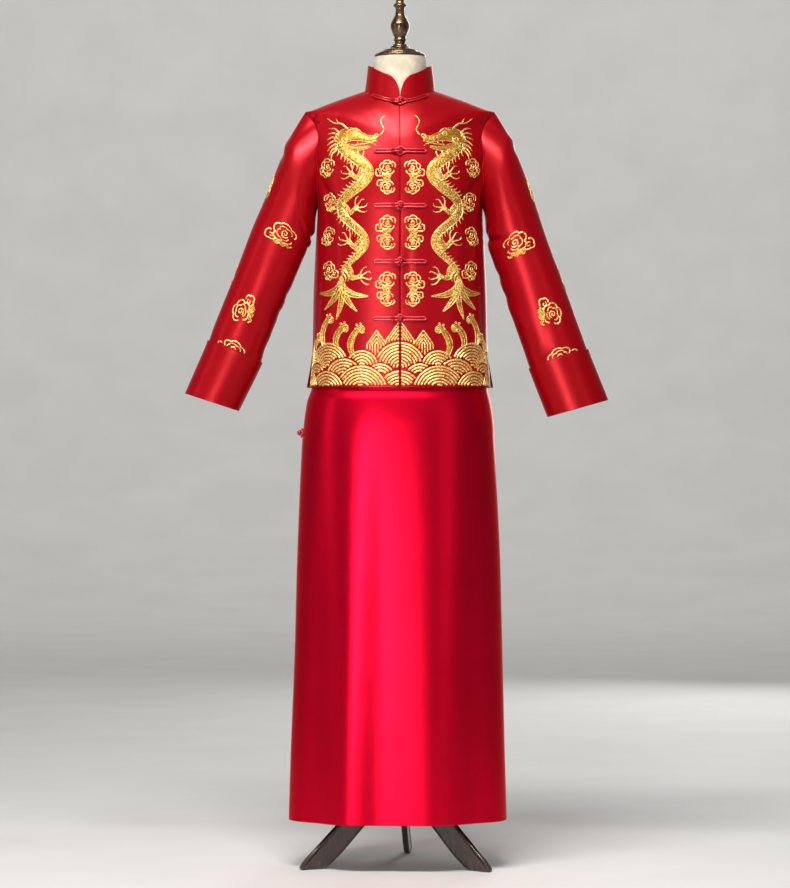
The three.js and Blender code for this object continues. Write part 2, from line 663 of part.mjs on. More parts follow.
function buildStand() {
  addMesh('neck_cap', turned(CAP_TURNING, 20), BRONZE);
  addMesh('finial', turned(FINIAL_TURNING, 12), BRONZE);
  const formBottom = FORM_HIPS[0].z;
  const { radius, bottom, top, chamfer } = HUB;
  const [low, high] = [top + SEAM, formBottom - SEAM];
  const pole = [[0, low], [POLE_RADIUS, low], [POLE_RADIUS, high], [0, high]];
  addMesh('pole', turned(pole, 18), BRONZE);
  const inner = radius - chamfer;
  const lower = [[0, bottom], [inner, bottom], [radius, bottom + chamfer]];
  const upper = [[radius, top - chamfer], [inner, top], [0, top]];
  addMesh('hub', turned([...lower, ...upper], 18), LACQUER);
  for (const [name, azimuth] of Object.entries(LEG_AZIMUTHS)) {
    const leg = addMesh(`leg_${name}`, legGeometry(), LACQUER);
    leg.rotation.z = THREE.MathUtils.degToRad(azimuth);
  }
}

buildJacketBody();
buildSleeve('right', -1, SLEEVE_WEARERS_RIGHT);
buildSleeve('left', 1, SLEEVE_WEARERS_LEFT);
buildCollar();
buildFrogs();
buildRobe();
buildForm();
buildStand();

// The origin is on the floor, at the middle of the outfit's box
const extent = new THREE.Box3().setFromObject(outfit, true);
const middle = extent.getCenter(new THREE.Vector3());
outfit.position.set(-middle.x, -middle.y, -extent.min.z);

export default outfit;
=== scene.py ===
"""A groom's red satin jacket with gold embroidery over a long changshan robe, on a limbless dress form.

Sizes are in millimetres: widths from the pole's axis, heights from the floor. The wearer faces -Y, and
the wearer's left is +X. mesh_object() turns them into metres in the frame.
"""

import math

import bpy
import numpy as np
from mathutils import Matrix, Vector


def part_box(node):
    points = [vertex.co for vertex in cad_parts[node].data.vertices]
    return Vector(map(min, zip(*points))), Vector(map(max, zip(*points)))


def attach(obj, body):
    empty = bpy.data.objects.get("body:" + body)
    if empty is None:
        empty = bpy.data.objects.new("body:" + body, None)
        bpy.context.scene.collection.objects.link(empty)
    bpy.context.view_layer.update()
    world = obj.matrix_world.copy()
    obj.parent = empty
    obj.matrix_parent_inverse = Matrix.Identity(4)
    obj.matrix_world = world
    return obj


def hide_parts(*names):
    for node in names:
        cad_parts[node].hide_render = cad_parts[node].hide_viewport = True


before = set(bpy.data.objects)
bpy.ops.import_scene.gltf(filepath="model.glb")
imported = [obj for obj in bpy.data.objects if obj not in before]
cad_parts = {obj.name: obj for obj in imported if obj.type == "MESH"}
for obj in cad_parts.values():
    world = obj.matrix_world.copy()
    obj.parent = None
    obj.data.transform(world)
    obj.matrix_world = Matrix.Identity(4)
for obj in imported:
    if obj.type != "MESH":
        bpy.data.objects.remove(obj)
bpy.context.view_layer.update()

pole_low, pole_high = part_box("pole")
AXIS = np.array([(pole_low.x + pole_high.x) / 2, (pole_low.y + pole_high.y) / 2, 0.0])
MM = 0.001

# Cloth and seams
CLOTH = 1.4
CUFF_CLOTH = 2.2
COLLAR_CLOTH = 2.4
SEAM = 0.3
ROBE_INSET = 6
FORM_INSET = 15


def table(names, *rows):
    """A table's rows as dictionaries, from its column names and its rows of values."""
    return [dict(zip(names.split(), row)) for row in rows]


# The jacket's rings from hem to neck, as its solids have them
JACKET = table(
    "ring side_x side_z front_y front_z back_y back_z round pinch narrow drop",
    ("hem", 181, 953, -130, 951, 130, 953, 2.45, 0, 1, 0),
    ("vent", 174.5, 1040, -128, 1038, 126, 1040, 2.45, 0, 1, 0),
    ("waist", 173, 1130, -127, 1128, 122, 1130, 2.45, 0, 1, 0),
    ("ribs", 168.5, 1235, -127, 1230, 121, 1235, 2.4, 0, 1, 0),
    ("armpit", 165, 1310, -127, 1298, 121, 1312, 2.35, 0, 1, 0),
    ("armhole", 183, 1408, -122, 1374, 118, 1410, 2.2, 0.06, 1, 0.2),
    ("shoulder tip", 190, 1502, -108, 1446, 106, 1484, 2, 0.3, 1, 0.8),
    ("inside the tip", 178, 1506, -102, 1462, 99, 1498, 2, 0.28, 0.8, 0.6),
    ("mid shoulder", 128, 1525, -89, 1492, 84, 1529, 2, 0.18, 0.3, 0.2),
    ("neck", 70, 1545, -75, 1518, 62, 1552, 2, 0, 1, 1.1),
)
ARMPIT = 4
TIP = 6
NECK = 9
SHOULDER_SPREAD = 1.3
SPREAD_REACH = 0.6
VENT_TOP = 1040
VENT_FLARE = 6
VENT_FLARE_REACH = 0.7

# The robe's rings below the jacket, from its hem up
ROBE_SKIRT = table(
    "ring half_width centre_x z front back round",
    ("hem", 216, -4, 95, -162, 160, 2.6),
    ("shin", 213, -4, 208, -159, 157, 2.6),
    ("knee", 206, -2.5, 448, -152, 150, 2.6),
    ("thigh", 202.5, -2.5, 604, -147, 145, 2.6),
    ("hip", 192.5, -3.5, 836, -139, 137, 2.55),
    ("high hip", 189.5, -2.5, 882, -136, 134, 2.5),
    ("below the jacket", 183, -2.5, 925, -130, 129, 2.45),
    ("jacket hem", 174.5, -1, 956, -123, 123, 2.45),
)
# Its long folds by angle from the centre front: ridges where depth is positive
ROBE_FOLDS = table(
    "angle spread depth top",
    (-76, 12, 4, 880),
    (-47, 14, -11, 905),
    (-22, 8, 5, 935),
    (-6, 6, -4, 890),
    (13, 9, 4, 930),
    (43, 14, -11, 895),
    (73, 12, 3, 860),
    (105, 10, -5, 820),
    (132, 9, 4, 900),
    (158, 10, -4, 760),
    (187, 12, 4, 880),
    (214, 9, -5, 900),
    (243, 11, 3, 820),
)
FOLD_GROWTH = 0.8

ARMHOLE_FRONT = 50
ARMHOLE_BACK = 56
ARMHOLE_HALF_HEIGHT = 97
ROBE_ARMHOLE_GROWTH = 4

# Sleeves, as sections from just outside the armhole to the end
SLEEVE_COLUMNS = "section outer_x outer_z inner_x inner_z forward half_depth"
SLEEVES = {
    "right": table(
        SLEEVE_COLUMNS,
        ("cap", 223, 1446, 168.5, 1290, 4, 57),
        ("below the armpit", 247, 1386, 170, 1264, 8, 56),
        ("upper arm", 269, 1330, 177, 1241, 11, 53),
        ("mid upper arm", 292, 1277, 187, 1222, 14, 50),
        ("elbow", 332, 1171, 227, 1128, 20, 47),
        ("forearm", 372, 1070, 270, 1026, 27, 45),
        ("cuff top", 380, 1046, 276, 1003, 29, 45),
        ("end", 424, 943, 321, 909, 36, 45),
    ),
    "left": table(
        SLEEVE_COLUMNS,
        ("cap", 223, 1446, 170, 1290, 4, 57),
        ("below the armpit", 248, 1383, 172, 1258, 8, 56),
        ("upper arm", 271, 1318, 176, 1232, 11, 54),
        ("mid upper arm", 292, 1253, 185, 1205, 14, 51),
        ("elbow", 325, 1162, 212, 1124, 20, 48),
        ("forearm", 361, 1060, 248, 1021, 27, 46),
        ("cuff top", 372, 1029, 258, 991, 30, 46),
        ("end", 411, 930, 294, 897, 38, 46),
    ),
}
CUFF_TOP = 7
SLEEVE_END = 8
CUFF_LENGTH = 110
CUFF_FOLD = 3.5

COLLAR_HEIGHT = 50
COLLAR_LEAN = 6
COLLAR_CORNER = 28
COLLAR_CORNER_POWER = 2.2
COLLAR_END_SHARE = 0.12
COLLAR_ROLL = 0.55
COLLAR_ROUND_OFF = 0.9
COLLAR_WAVE = 0.315

FROG_HEIGHTS = (1416, 1308, 1198, 1086)
SIDE_FROG_HEIGHT = 862
FROG_REACH = 50
SIDE_FROG_REACH = 38
CORD = 2.0
CORD_HALF_GAP = 2.6
FROG_LOOP = 7.7
FROG_BALL = 4.9
FROG_BALL_LIFT = 6.6
STRAP_START = 15
CORD_OVER = 5.2

FORM_HIPS = table(
    "half_width z half_depth",
    (112, 800, 78),
    (130, 806, 92),
    (144, 835, 103),
    (152, 900, 108),
    (154, 980, 108),
)
FORM_NECK = table("radius z", (57.5, 1549), (54, 1568), (52.6, 1585), (50.6, 1612.7))
FORM_NECK_BASE = dict(side_x=74, side_z=1531, front_y=-66, front_z=1504, back_y=56, back_z=1536, round=2)

# The turned cap and finial, as radius at each height
CAP_TURNING = [
    (0, 1613), (50.5, 1613), (51.5, 1615.5), (50.5, 1618.5), (44, 1619.5), (43.5, 1622), (36, 1623.5),
    (34, 1627), (23, 1629.5), (19, 1632.5), (19, 1634), (15, 1635.5), (14, 1639), (0, 1639),
]
FINIAL_TURNING = [
    (0, 1639.3), (11, 1639.3), (10.5, 1644), (13, 1647), (12.5, 1650), (10.5, 1652), (15, 1661),
    (18.8, 1672), (19, 1679), (15, 1688), (9.6, 1697), (8.5, 1708), (9, 1712), (13.4, 1715),
    (13, 1718.5), (8, 1722), (8.5, 1729), (7, 1737), (3, 1743), (0, 1744.5),
]
POLE_RADIUS = 13
HUB = dict(radius=24, bottom=106, top=214, chamfer=4)
LEG_THICKNESS = 12
LEG_AZIMUTHS = {"right": 205, "left": 325, "back": 85}
LEG_INNER_END = 24.4
LEG_UPPER = [(60, 166), (100, 123), (141, 82), (179, 46), (201, 26), (212, 14), (217.5, 5)]
LEG_LOWER = [(172, 0), (160, 5), (143, 18), (125, 34), (90, 70), (55, 106)]
LEG_ROOT_LOW = 128
LEG_ROOT_HIGH = 196


# Curves

def smooth(values, s):
    """A curve through evenly numbered values that never overshoots them, at the numbers s.

    values holds one number for each row, or a point for each row and each entry of s."""
    values = np.asarray(values, float)
    rise = np.diff(values, axis=0)
    turn = rise[:-1] * rise[1:]
    total = np.where(turn > 0, rise[:-1] + rise[1:], 1)
    inner = np.where(turn > 0, 2 * turn / total, 0)
    slope = np.concatenate([rise[:1], inner, rise[-1:]])
    i = np.clip(np.floor(s).astype(int), 0, len(values) - 2)
    t = s - i
    pick = (i,)
    following = (i + 1,)
    if values.ndim == 3:
        each = np.arange(values.shape[1])
        t = t[:, None]
        pick = (i, each)
        following = (i + 1, each)
    keep = 1 - 3 * t**2 + 2 * t**3
    ends = values[pick] * keep + values[following] * (1 - keep)
    return ends + slope[pick] * (t - 2 * t**2 + t**3) + slope[following] * (t**3 - t**2)


def signed_power(value, power):
    return np.sign(value) * np.abs(value) ** power


def halve(low, high, too_low, rounds=25):
    """The values between two others at which a rising quantity stops being too low."""
    low = np.array(low, float)
    high = np.array(high, float)
    for _ in range(rounds):
        middle = (low + high) / 2
        below = too_low(middle)
        low = np.where(below, middle, low)
        high = np.where(below, high, middle)
    return low


def through(points, step):
    """A smooth line through points, as points about one step apart."""
    points = np.asarray(points, float)
    if len(points) == 2:
        count = max(2, int(np.linalg.norm(points[1] - points[0]) / step) + 1)
        return points[0] + (points[1] - points[0]) * np.linspace(0, 1, count)[:, None]
    padded = np.vstack([2 * points[0] - points[1], points, 2 * points[-1] - points[-2]])
    line = []
    for a, b, c, d in zip(padded, padded[1:], padded[2:], padded[3:]):
        count = max(2, int(np.linalg.norm(c - b) / step) + 1)
        t = (np.arange(count) / count)[:, None]
        bend = (2 * a - 5 * b + 4 * c - d) * t**2 + (3 * b - a - 3 * c + d) * t**3
        line.append(b + (c - a) * t / 2 + bend / 2)
    return np.vstack([*line, points[-1:]])


def close_to_edges(count, edge=0.004):
    """Shares from 0 to 1, with an extra one next to each end so that the edges stay crisp."""
    return np.concatenate([[0, edge], np.linspace(0, 1, count + 1)[1:-1], [1 - edge, 1]])


# Surfaces

class Layer:
    """A surface over an angle from the centre front and a ring number."""

    NAMES = ("side_x", "side_z", "front_y", "front_z", "back_y", "back_z", "round", "pinch", "centre_x")

    def __init__(self, rings, tip, relief=None):
        self.columns = {name: [ring.get(name, 0) for ring in rings] for name in self.NAMES}
        self.tip = tip
        self.relief = relief
        self.top = len(rings) - 1

    def column(self, name, s):
        return smooth(self.columns[name], s)

    def spread_out(self, name, angle, s):
        """A column, averaged over the neighbouring rings towards the chest and back."""
        room = np.minimum(s - (self.tip - (TIP - ARMPIT)), self.tip + (NECK - TIP) - s)
        share = np.minimum(1, np.abs(np.cos(angle)) / SPREAD_REACH)
        reach = np.clip(room, 0, SHOULDER_SPREAD) * share
        offsets = np.linspace(-1, 1, 7)
        return sum(self.column(name, s + reach * offset) for offset in offsets) / len(offsets)

    def shares(self, angle, s):
        power = 2 / self.column("round", s)
        pinch = self.column("pinch", s)
        across = signed_power(np.sin(angle), power) * (1 - pinch * np.cos(angle) ** 2)
        return across, signed_power(np.cos(angle), power * (1 + pinch))

    def at(self, angle, s):
        angle, s = np.broadcast_arrays(np.asarray(angle, float), np.asarray(s, float))
        across, along = self.shares(angle, s)
        in_front = along > 0
        end_z = np.where(in_front, self.column("front_z", s), self.column("back_z", s))
        end_y = np.where(in_front, self.column("front_y", s), self.column("back_y", s))
        side_z = self.spread_out("side_z", angle, s)
        z = side_z + (end_z - side_z) * along**2
        out = self.relief(angle, z) if self.relief else 0
        x = self.column("centre_x", s) + self.spread_out("side_x", angle, s) * across
        return np.stack([x + out * np.sin(angle), end_y * np.abs(along) - out * np.cos(angle), z], -1)

    def normal(self, angle, s):
        step = 1e-3
        low = np.maximum(s - step, 0)
        high = np.minimum(s + step, self.top)
        around = self.at(angle + step, s) - self.at(angle - step, s)
        upward = self.at(angle, high) - self.at(angle, low)
        cross = np.cross(around, upward)
        return cross / np.linalg.norm(cross, axis=-1, keepdims=True)

    def lifted(self, angle, s, lift):
        angle, s, lift = np.broadcast_arrays(angle, s, lift)
        return self.at(angle, s) + self.normal(angle, s) * lift[..., None]

    def angle_at_x(self, s, x):
        s = np.asarray(s, float)
        reached = lambda a: self.spread_out("side_x", a, s) * self.shares(a, s)[0]
        return halve(np.zeros_like(s), np.full_like(s, math.pi / 2), lambda a: reached(a) < np.abs(x))

    def angle_at_y(self, s, y):
        s = np.asarray(s, float)
        y = np.broadcast_to(y, s.shape)
        end = np.where(y < 0, self.column("front_y", s), self.column("back_y", s))
        share = y / np.abs(end)
        return halve(np.zeros_like(s), np.full_like(s, math.pi), lambda a: -self.shares(a, s)[1] < share)


def inset_rings(rings, inset):
    moved = []
    for ring in rings:
        side = inset * ring["narrow"]
        down = inset * ring["drop"]
        moved.append(dict(
            ring,
            side_x=ring["side_x"] - side,
            front_y=ring["front_y"] + side,
            back_y=ring["back_y"] - side,
            side_z=ring["side_z"] - down,
            front_z=ring["front_z"] - down,
            back_z=ring["back_z"] - down,
        ))
    return moved


def trough(across, along, width, length):
    """The share of a soft crease's depth at distances across and along it."""
    return np.exp(-(across / width) ** 2 - np.abs(along / length) ** 3)


# Soft creases of the jacket's body. distance is round the body from the centre front towards the
# wearer's left, and tilt turns the crease's upper end towards the wearer's left.
BODY_CREASES = table(
    "distance z length width tilt depth",
    (-172, 1352, 62, 9, -34, -3.2),
    (-150, 1318, 55, 8, -48, -2.2),
    (-182, 1300, 46, 10, -14, 2.0),
    (-120, 1240, 95, 16, -10, 1.4),
    (-188, 1170, 120, 14, 4, -1.6),
    (-206, 1478, 22, 6, 8, -2.2),
    (-193, 1482, 20, 5, -2, 1.8),
    (166, 1352, 66, 9, 38, -3.6),
    (142, 1336, 50, 7, 52, -2.4),
    (186, 1298, 52, 10, 18, 2.2),
    (118, 1225, 90, 15, 12, 1.2),
    (192, 1150, 120, 14, -3, -1.8),
    (205, 1478, 22, 6, -8, -2.0),
    (10, 1175, 60, 5, 0, -1.6),
    (-8, 1250, 40, 5, 4, -1.0),
    (60, 1498, 46, 18, 62, 1.6),
    (-64, 1496, 46, 18, -60, 1.8),
    (345, 1340, 60, 10, 34, -2.8),
    (395, 1270, 90, 16, 14, -1.6),
    (470, 1150, 150, 20, 4, 1.6),
    (-350, 1346, 64, 10, -38, -2.6),
    (-404, 1262, 90, 15, -12, -1.8),
    (-440, 1120, 130, 18, -3, 1.4),
)
BODY_RADIUS = 165  # turns an angle round the body into a distance


def creases(rows, distance, z, whole_turn):
    out = 0
    for crease in rows:
        aside = distance - crease["distance"]
        aside = aside - whole_turn * np.round(aside / whole_turn)
        up = z - crease["z"]
        tilt = math.radians(crease["tilt"])
        across = aside * math.cos(tilt) - up * math.sin(tilt)
        along = aside * math.sin(tilt) + up * math.cos(tilt)
        out = out + crease["depth"] * trough(across, along, crease["width"], crease["length"])
    return out


def body_creases(angle, z):
    return creases(BODY_CREASES, angle * BODY_RADIUS, z, 2 * math.pi * BODY_RADIUS)


def back_relief(angle, z):
    below = np.maximum(0, (VENT_TOP - z) / (VENT_TOP - JACKET[0]["side_z"]))
    from_side = np.maximum(0, 1 - (np.abs(np.cos(angle)) / VENT_FLARE_REACH) ** 2)
    return VENT_FLARE * below**1.5 * from_side + body_creases(angle, z)


def robe_relief(angle, z):
    out = 0
    hem = ROBE_SKIRT[0]["z"]
    for fold in ROBE_FOLDS:
        turn = np.degrees(angle) - fold["angle"]
        away = (turn - 360 * np.round(turn / 360)) / fold["spread"]
        grown = np.maximum(0, (fold["top"] - z) / (fold["top"] - hem))
        out = out + fold["depth"] * grown**FOLD_GROWTH * np.exp(-away * away)
    return out


jacket = Layer(JACKET, TIP, body_creases)
jacket_plain = Layer(JACKET, TIP)
jacket_back = Layer(JACKET, TIP, back_relief)

robe_skirt = [
    dict(side_x=row["half_width"], centre_x=row["centre_x"], side_z=row["z"], front_y=row["front"],
         front_z=row["z"], back_y=row["back"], back_z=row["z"], round=row["round"])
    for row in ROBE_SKIRT
]
ROBE_FIRST = len(ROBE_SKIRT) - 1
robe = Layer(robe_skirt + inset_rings(JACKET[1:], ROBE_INSET), ROBE_FIRST + TIP, robe_relief)


# Meshes

def mesh_object(name, corners, faces, material, smooth_shading=True):
    """A mesh piece from corners in millimetres round the pole's axis."""
    mesh = bpy.data.meshes.new(name)
    mesh.from_pydata((np.asarray(corners) * MM + AXIS).tolist(), [], faces)
    mesh.validate()
    if smooth_shading:
        mesh.shade_smooth()
    mesh.materials.append(material)
    piece = bpy.data.objects.new(name, mesh)
    bpy.context.scene.collection.objects.link(piece)
    return piece


def wall_faces(rows, columns, wraps):
    """The faces of a closed wall between an outer and an inner grid of points."""
    outside = np.arange(rows * columns).reshape(rows, columns)
    if wraps:
        outside = np.hstack([outside, outside[:, :1]])
    inside = outside + rows * columns
    skin = np.stack([outside[:-1, :-1], outside[:-1, 1:], outside[1:, 1:], outside[1:, :-1]], -1)
    lining = np.stack([inside[:-1, 1:], inside[:-1, :-1], inside[1:, :-1], inside[1:, 1:]], -1)
    low = np.stack([outside[0, 1:], outside[0, :-1], inside[0, :-1], inside[0, 1:]], -1)
    high = np.stack([outside[-1, :-1], outside[-1, 1:], inside[-1, 1:], inside[-1, :-1]], -1)
    groups = [skin.reshape(-1, 4), lining.reshape(-1, 4), low, high]
    if not wraps:
        left = [outside[:-1, 0], outside[1:, 0], inside[1:, 0], inside[:-1, 0]]
        right = [outside[1:, -1], outside[:-1, -1], inside[:-1, -1], inside[1:, -1]]
        groups += [np.stack(left, -1), np.stack(right, -1)]
    return np.vstack(groups).tolist()


def ring_faces(count, sides, closed=False, capped=True):
    """Faces over a row of rings of points. An open row is capped at its ends unless told otherwise."""
    index = np.arange(count * sides).reshape(count, sides)
    index = np.hstack([index, index[:, :1]])
    if closed:
        index = np.vstack([index, index[:1]])
    quads = np.stack([index[:-1, :-1], index[:-1, 1:], index[1:, 1:], index[1:, :-1]], -1)
    faces = quads.reshape(-1, 4).tolist()
    if capped and not closed:
        faces.append(list(range(sides))[::-1])
        faces.append((np.arange(sides) + (count - 1) * sides).tolist())
    return faces


def shell(name, outer, inner, material, wraps=False):
    rows, columns = outer.shape[:2]
    corners = np.vstack([outer.reshape(-1, 3), inner.reshape(-1, 3)])
    return mesh_object(name, corners, wall_faces(rows, columns, wraps), material)


def finish_piece(piece, slot, *nodes):
    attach(piece, "root")
    if nodes:
        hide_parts(*nodes)
    return piece


# Materials

def new_material(name):
    material = bpy.data.materials.new(name)
    material.use_nodes = True
    nodes = material.node_tree.nodes
    shader = nodes["Principled BSDF"]
    return material, nodes, material.node_tree.links, shader


def object_coordinates(nodes, links, scale):
    place = nodes.new("ShaderNodeTexCoord")
    mapping = nodes.new("ShaderNodeMapping")
    mapping.inputs["Scale"].default_value = scale
    links.new(place.outputs["Object"], mapping.inputs["Vector"])
    return mapping.outputs["Vector"]


def noise(nodes, links, vector, scale, detail=2.0):
    texture = nodes.new("ShaderNodeTexNoise")
    texture.inputs["Scale"].default_value = scale
    texture.inputs["Detail"].default_value = detail
    links.new(vector, texture.inputs["Vector"])
    return texture.outputs["Fac"]


def ramp(nodes, links, factor, stops):
    """A colour ramp from (place, colour) stops."""
    node = nodes.new("ShaderNodeValToRGB")
    elements = node.color_ramp.elements
    while len(elements) < len(stops):
        elements.new(0.5)
    for element, (place, colour) in zip(elements, stops):
        element.position = place
        element.color = (*colour, 1)
    links.new(factor, node.inputs["Fac"])
    return node.outputs["Color"]


def spread(nodes, links, factor, low, high):
    """A number between two others that follows a factor from 0 to 1."""
    node = nodes.new("ShaderNodeMapRange")
    node.inputs["To Min"].default_value = low
    node.inputs["To Max"].default_value = high
    links.new(factor, node.inputs["Value"])
    return node.outputs["Result"]


def add_bump(nodes, links, shader, height, strength, distance, under=None):
    bump = nodes.new("ShaderNodeBump")
    bump.inputs["Strength"].default_value = strength
    bump.inputs["Distance"].default_value = distance
    links.new(height, bump.inputs["Height"])
    if under:
        links.new(under, bump.inputs["Normal"])
    links.new(bump.outputs["Normal"], shader.inputs["Normal"])
    return bump.outputs["Normal"]


def satin(name, deep, bright, roughness, gloss, coat=0.0):
    """Satin: long warp floats give a coloured gloss, with a fine grain and faint slubs."""
    material, nodes, links, shader = new_material(name)
    body = object_coordinates(nodes, links, (1, 1, 1))
    threads = object_coordinates(nodes, links, (1, 1, 0.12))
    links.new(ramp(nodes, links, noise(nodes, links, body, 5), [(0.3, deep), (0.7, bright)]),
              shader.inputs["Base Color"])
    grain = noise(nodes, links, threads, 1500, 1)
    links.new(spread(nodes, links, grain, roughness - 0.06, roughness + 0.06), shader.inputs["Roughness"])
    shader.inputs["Metallic"].default_value = gloss
    shader.inputs["Specular IOR Level"].default_value = 0.6
    shader.inputs["Specular Tint"].default_value = (1, 0.35, 0.35, 1)
    shader.inputs["Coat Weight"].default_value = coat
    shader.inputs["Coat Roughness"].default_value = 0.3
    shader.inputs["Sheen Weight"].default_value = 0.04
    shader.inputs["Sheen Roughness"].default_value = 0.4
    shader.inputs["Sheen Tint"].default_value = (1, 0.12, 0.15, 1)
    drape = add_bump(nodes, links, shader, noise(nodes, links, body, 14, 1), 0.25, 0.002)
    add_bump(nodes, links, shader, grain, 0.22, 0.0003, drape)
    return material


def gold_thread(name, deep, middle, pale):
    """Couched metal thread: short bright stitch marks over a deeper ground; the pale flecks in the base
    colour are painted glints.
    """
    material, nodes, links, shader = new_material(name)
    body = object_coordinates(nodes, links, (1, 1, 1))
    stitches_and_painted_glints = noise(nodes, links, body, 430, 2)
    # The pale stop paints glints into the base colour; the deep and middle stops are the thread's own
    # tone.
    stops = [(0.38, deep), (0.48, middle), (0.57, pale)]
    links.new(ramp(nodes, links, stitches_and_painted_glints, stops), shader.inputs["Base Color"])
    shader.inputs["Metallic"].default_value = 0.8
    links.new(spread(nodes, links, stitches_and_painted_glints, 0.5, 0.25), shader.inputs["Roughness"])
    fine = noise(nodes, links, body, 1400, 1)
    coarse = add_bump(nodes, links, shader, stitches_and_painted_glints, 0.6, 0.0007)
    add_bump(nodes, links, shader, fine, 0.5, 0.0003, coarse)
    return material


def linen():
    material, nodes, links, shader = new_material("linen")
    body = object_coordinates(nodes, links, (1, 1, 1))
    stops = [(0.35, (0.40, 0.345, 0.25)), (0.65, (0.50, 0.44, 0.33))]
    links.new(ramp(nodes, links, noise(nodes, links, body, 60, 4), stops), shader.inputs["Base Color"])
    shader.inputs["Roughness"].default_value = 0.85
    shader.inputs["Sheen Weight"].default_value = 0.2
    weft = noise(nodes, links, object_coordinates(nodes, links, (0.15, 0.15, 1)), 900, 1)
    warp = noise(nodes, links, object_coordinates(nodes, links, (1, 1, 0.15)), 900, 1)
    under = add_bump(nodes, links, shader, weft, 0.35, 0.0005)
    add_bump(nodes, links, shader, warp, 0.35, 0.0005, under)
    return material


def bronze():
    """Dark turned bronze with golden rubs and fine turning marks."""
    material, nodes, links, shader = new_material("bronze")
    body = object_coordinates(nodes, links, (1, 1, 1))
    rings = object_coordinates(nodes, links, (0.05, 0.05, 1))
    stops = [(0.35, (0.045, 0.02, 0.009)), (0.55, (0.13, 0.065, 0.026)), (0.72, (0.38, 0.23, 0.085))]
    links.new(ramp(nodes, links, noise(nodes, links, body, 55, 5), stops), shader.inputs["Base Color"])
    shader.inputs["Metallic"].default_value = 0.8
    marks = noise(nodes, links, rings, 1400, 2)
    links.new(spread(nodes, links, marks, 0.18, 0.34), shader.inputs["Roughness"])
    shader.inputs["Coat Weight"].default_value = 0.5
    shader.inputs["Coat Roughness"].default_value = 0.12
    add_bump(nodes, links, shader, marks, 0.15, 0.0003)
    return material


def lacquer():
    """Dark brown lacquered wood with a faint grain."""
    material, nodes, links, shader = new_material("dark_lacquer")
    grain = noise(nodes, links, object_coordinates(nodes, links, (1, 1, 0.25)), 130, 6)
    stops = [(0.35, (0.012, 0.006, 0.004)), (0.7, (0.055, 0.024, 0.012))]
    links.new(ramp(nodes, links, grain, stops), shader.inputs["Base Color"])
    links.new(spread(nodes, links, grain, 0.22, 0.36), shader.inputs["Roughness"])
    shader.inputs["Coat Weight"].default_value = 0.7
    shader.inputs["Coat Roughness"].default_value = 0.1
    add_bump(nodes, links, shader, grain, 0.2, 0.0004)
    return material


RED_SATIN = satin("red_satin", (0.28, 0.0, 0.003), (0.32, 0.0, 0.005), 0.34, 0.4)
ROBE_SATIN = satin("robe_satin", (0.55, 0.0, 0.016), (0.62, 0.0, 0.021), 0.32, 0.85)
# The cords are the jacket's satin painted a lighter red: a painted highlight, beside the real gloss of
# their coat.
RED_CORD = satin("red_cord", (0.40, 0.0, 0.008), (0.50, 0.004, 0.014), 0.28, 0.5, 0.8)
# Each gold's third colour is a painted glint.
GOLD = gold_thread("gold_thread", (0.46, 0.17, 0.012), (0.92, 0.54, 0.09), (1.0, 0.86, 0.42))
GOLD_GROUND = gold_thread("gold_ground", (0.26, 0.085, 0.008), (0.44, 0.18, 0.018), (0.72, 0.38, 0.06))
LINEN = linen()
BRONZE = bronze()
LACQUER = lacquer()


# Cloth panels

def armhole_cut(armpit, tip, growth, turn, inset=0.0):
    """Ring number and y of the armhole's outline. turn is 0 at the shoulder tip."""
    half = (tip - armpit) / 2
    s = (tip + armpit) / 2 + half * np.cos(turn) * (1 - inset / ARMHOLE_HALF_HEIGHT)
    half_depth = np.where(np.sin(turn) > 0, ARMHOLE_FRONT, ARMHOLE_BACK) + growth - inset
    return s, -half_depth * np.sin(turn)


def panel_rows(armpit, tip, growth, hem, top, rows_below, rows_beside, rows_above):
    """Ring numbers from hem to top, with the y of a front's and of a back's side edge at each."""
    turn = np.linspace(math.pi, 0, rows_beside)
    beside, front = armhole_cut(armpit, tip, growth, turn)
    back = armhole_cut(armpit, tip, growth, 2 * math.pi - turn)[1]
    below = hem + (armpit - hem) * close_to_edges(rows_below, 0.0015)[:-2]
    above = tip + (top - tip) * close_to_edges(rows_above)[2:]
    s = np.concatenate([below, beside, above])
    plain_low = np.zeros_like(below)
    plain_high = np.zeros_like(above)
    front = np.concatenate([plain_low, front, plain_high])
    back = np.concatenate([plain_low, back, plain_high])
    return s, np.minimum(front, -SEAM / 2), np.maximum(back, SEAM / 2)


EDGE_ROLL = 0.55  # how far an edge turns under at a seam
EDGE_ROLL_WIDTH = 0.012  # share of the panel over which it does


def panel(name, layer, s, start, end, columns, material):
    """A panel of cloth between two angles on each ring, with its edges turned under a little."""
    share = close_to_edges(columns)
    angle = start[:, None] + (end - start)[:, None] * share[None, :]
    rows = np.broadcast_to(s[:, None], angle.shape)
    under = np.exp(-share / EDGE_ROLL_WIDTH) + np.exp(-(1 - share) / EDGE_ROLL_WIDTH)
    outer_lift = np.broadcast_to(-EDGE_ROLL * under, angle.shape)
    at = layer.at(angle, rows)
    normal = layer.normal(angle, rows)
    return shell(name, at + normal * outer_lift[..., None], at - normal * CLOTH, material)


def build_jacket_body():
    s, front_y, back_y = panel_rows(ARMPIT, TIP, 0, 0, NECK, 70, 44, 34)
    centre = jacket_plain.angle_at_x(s, SEAM / 2)
    side = jacket_plain.angle_at_y(s, front_y)
    left = panel("jacket_front_left_cloth", jacket, s, centre, side, 56, RED_SATIN)
    right = panel("jacket_front_right_cloth", jacket, s, -side, -centre, 56, RED_SATIN)
    behind = jacket_plain.angle_at_y(s, back_y)
    back = panel("jacket_back_cloth", jacket_back, s, behind, 2 * math.pi - behind, 110, RED_SATIN)
    for piece, node in ((left, "jacket_front_left"), (right, "jacket_front_right")):
        finish_piece(piece, "red_satin", node)
    finish_piece(back, "red_satin", "jacket_back")


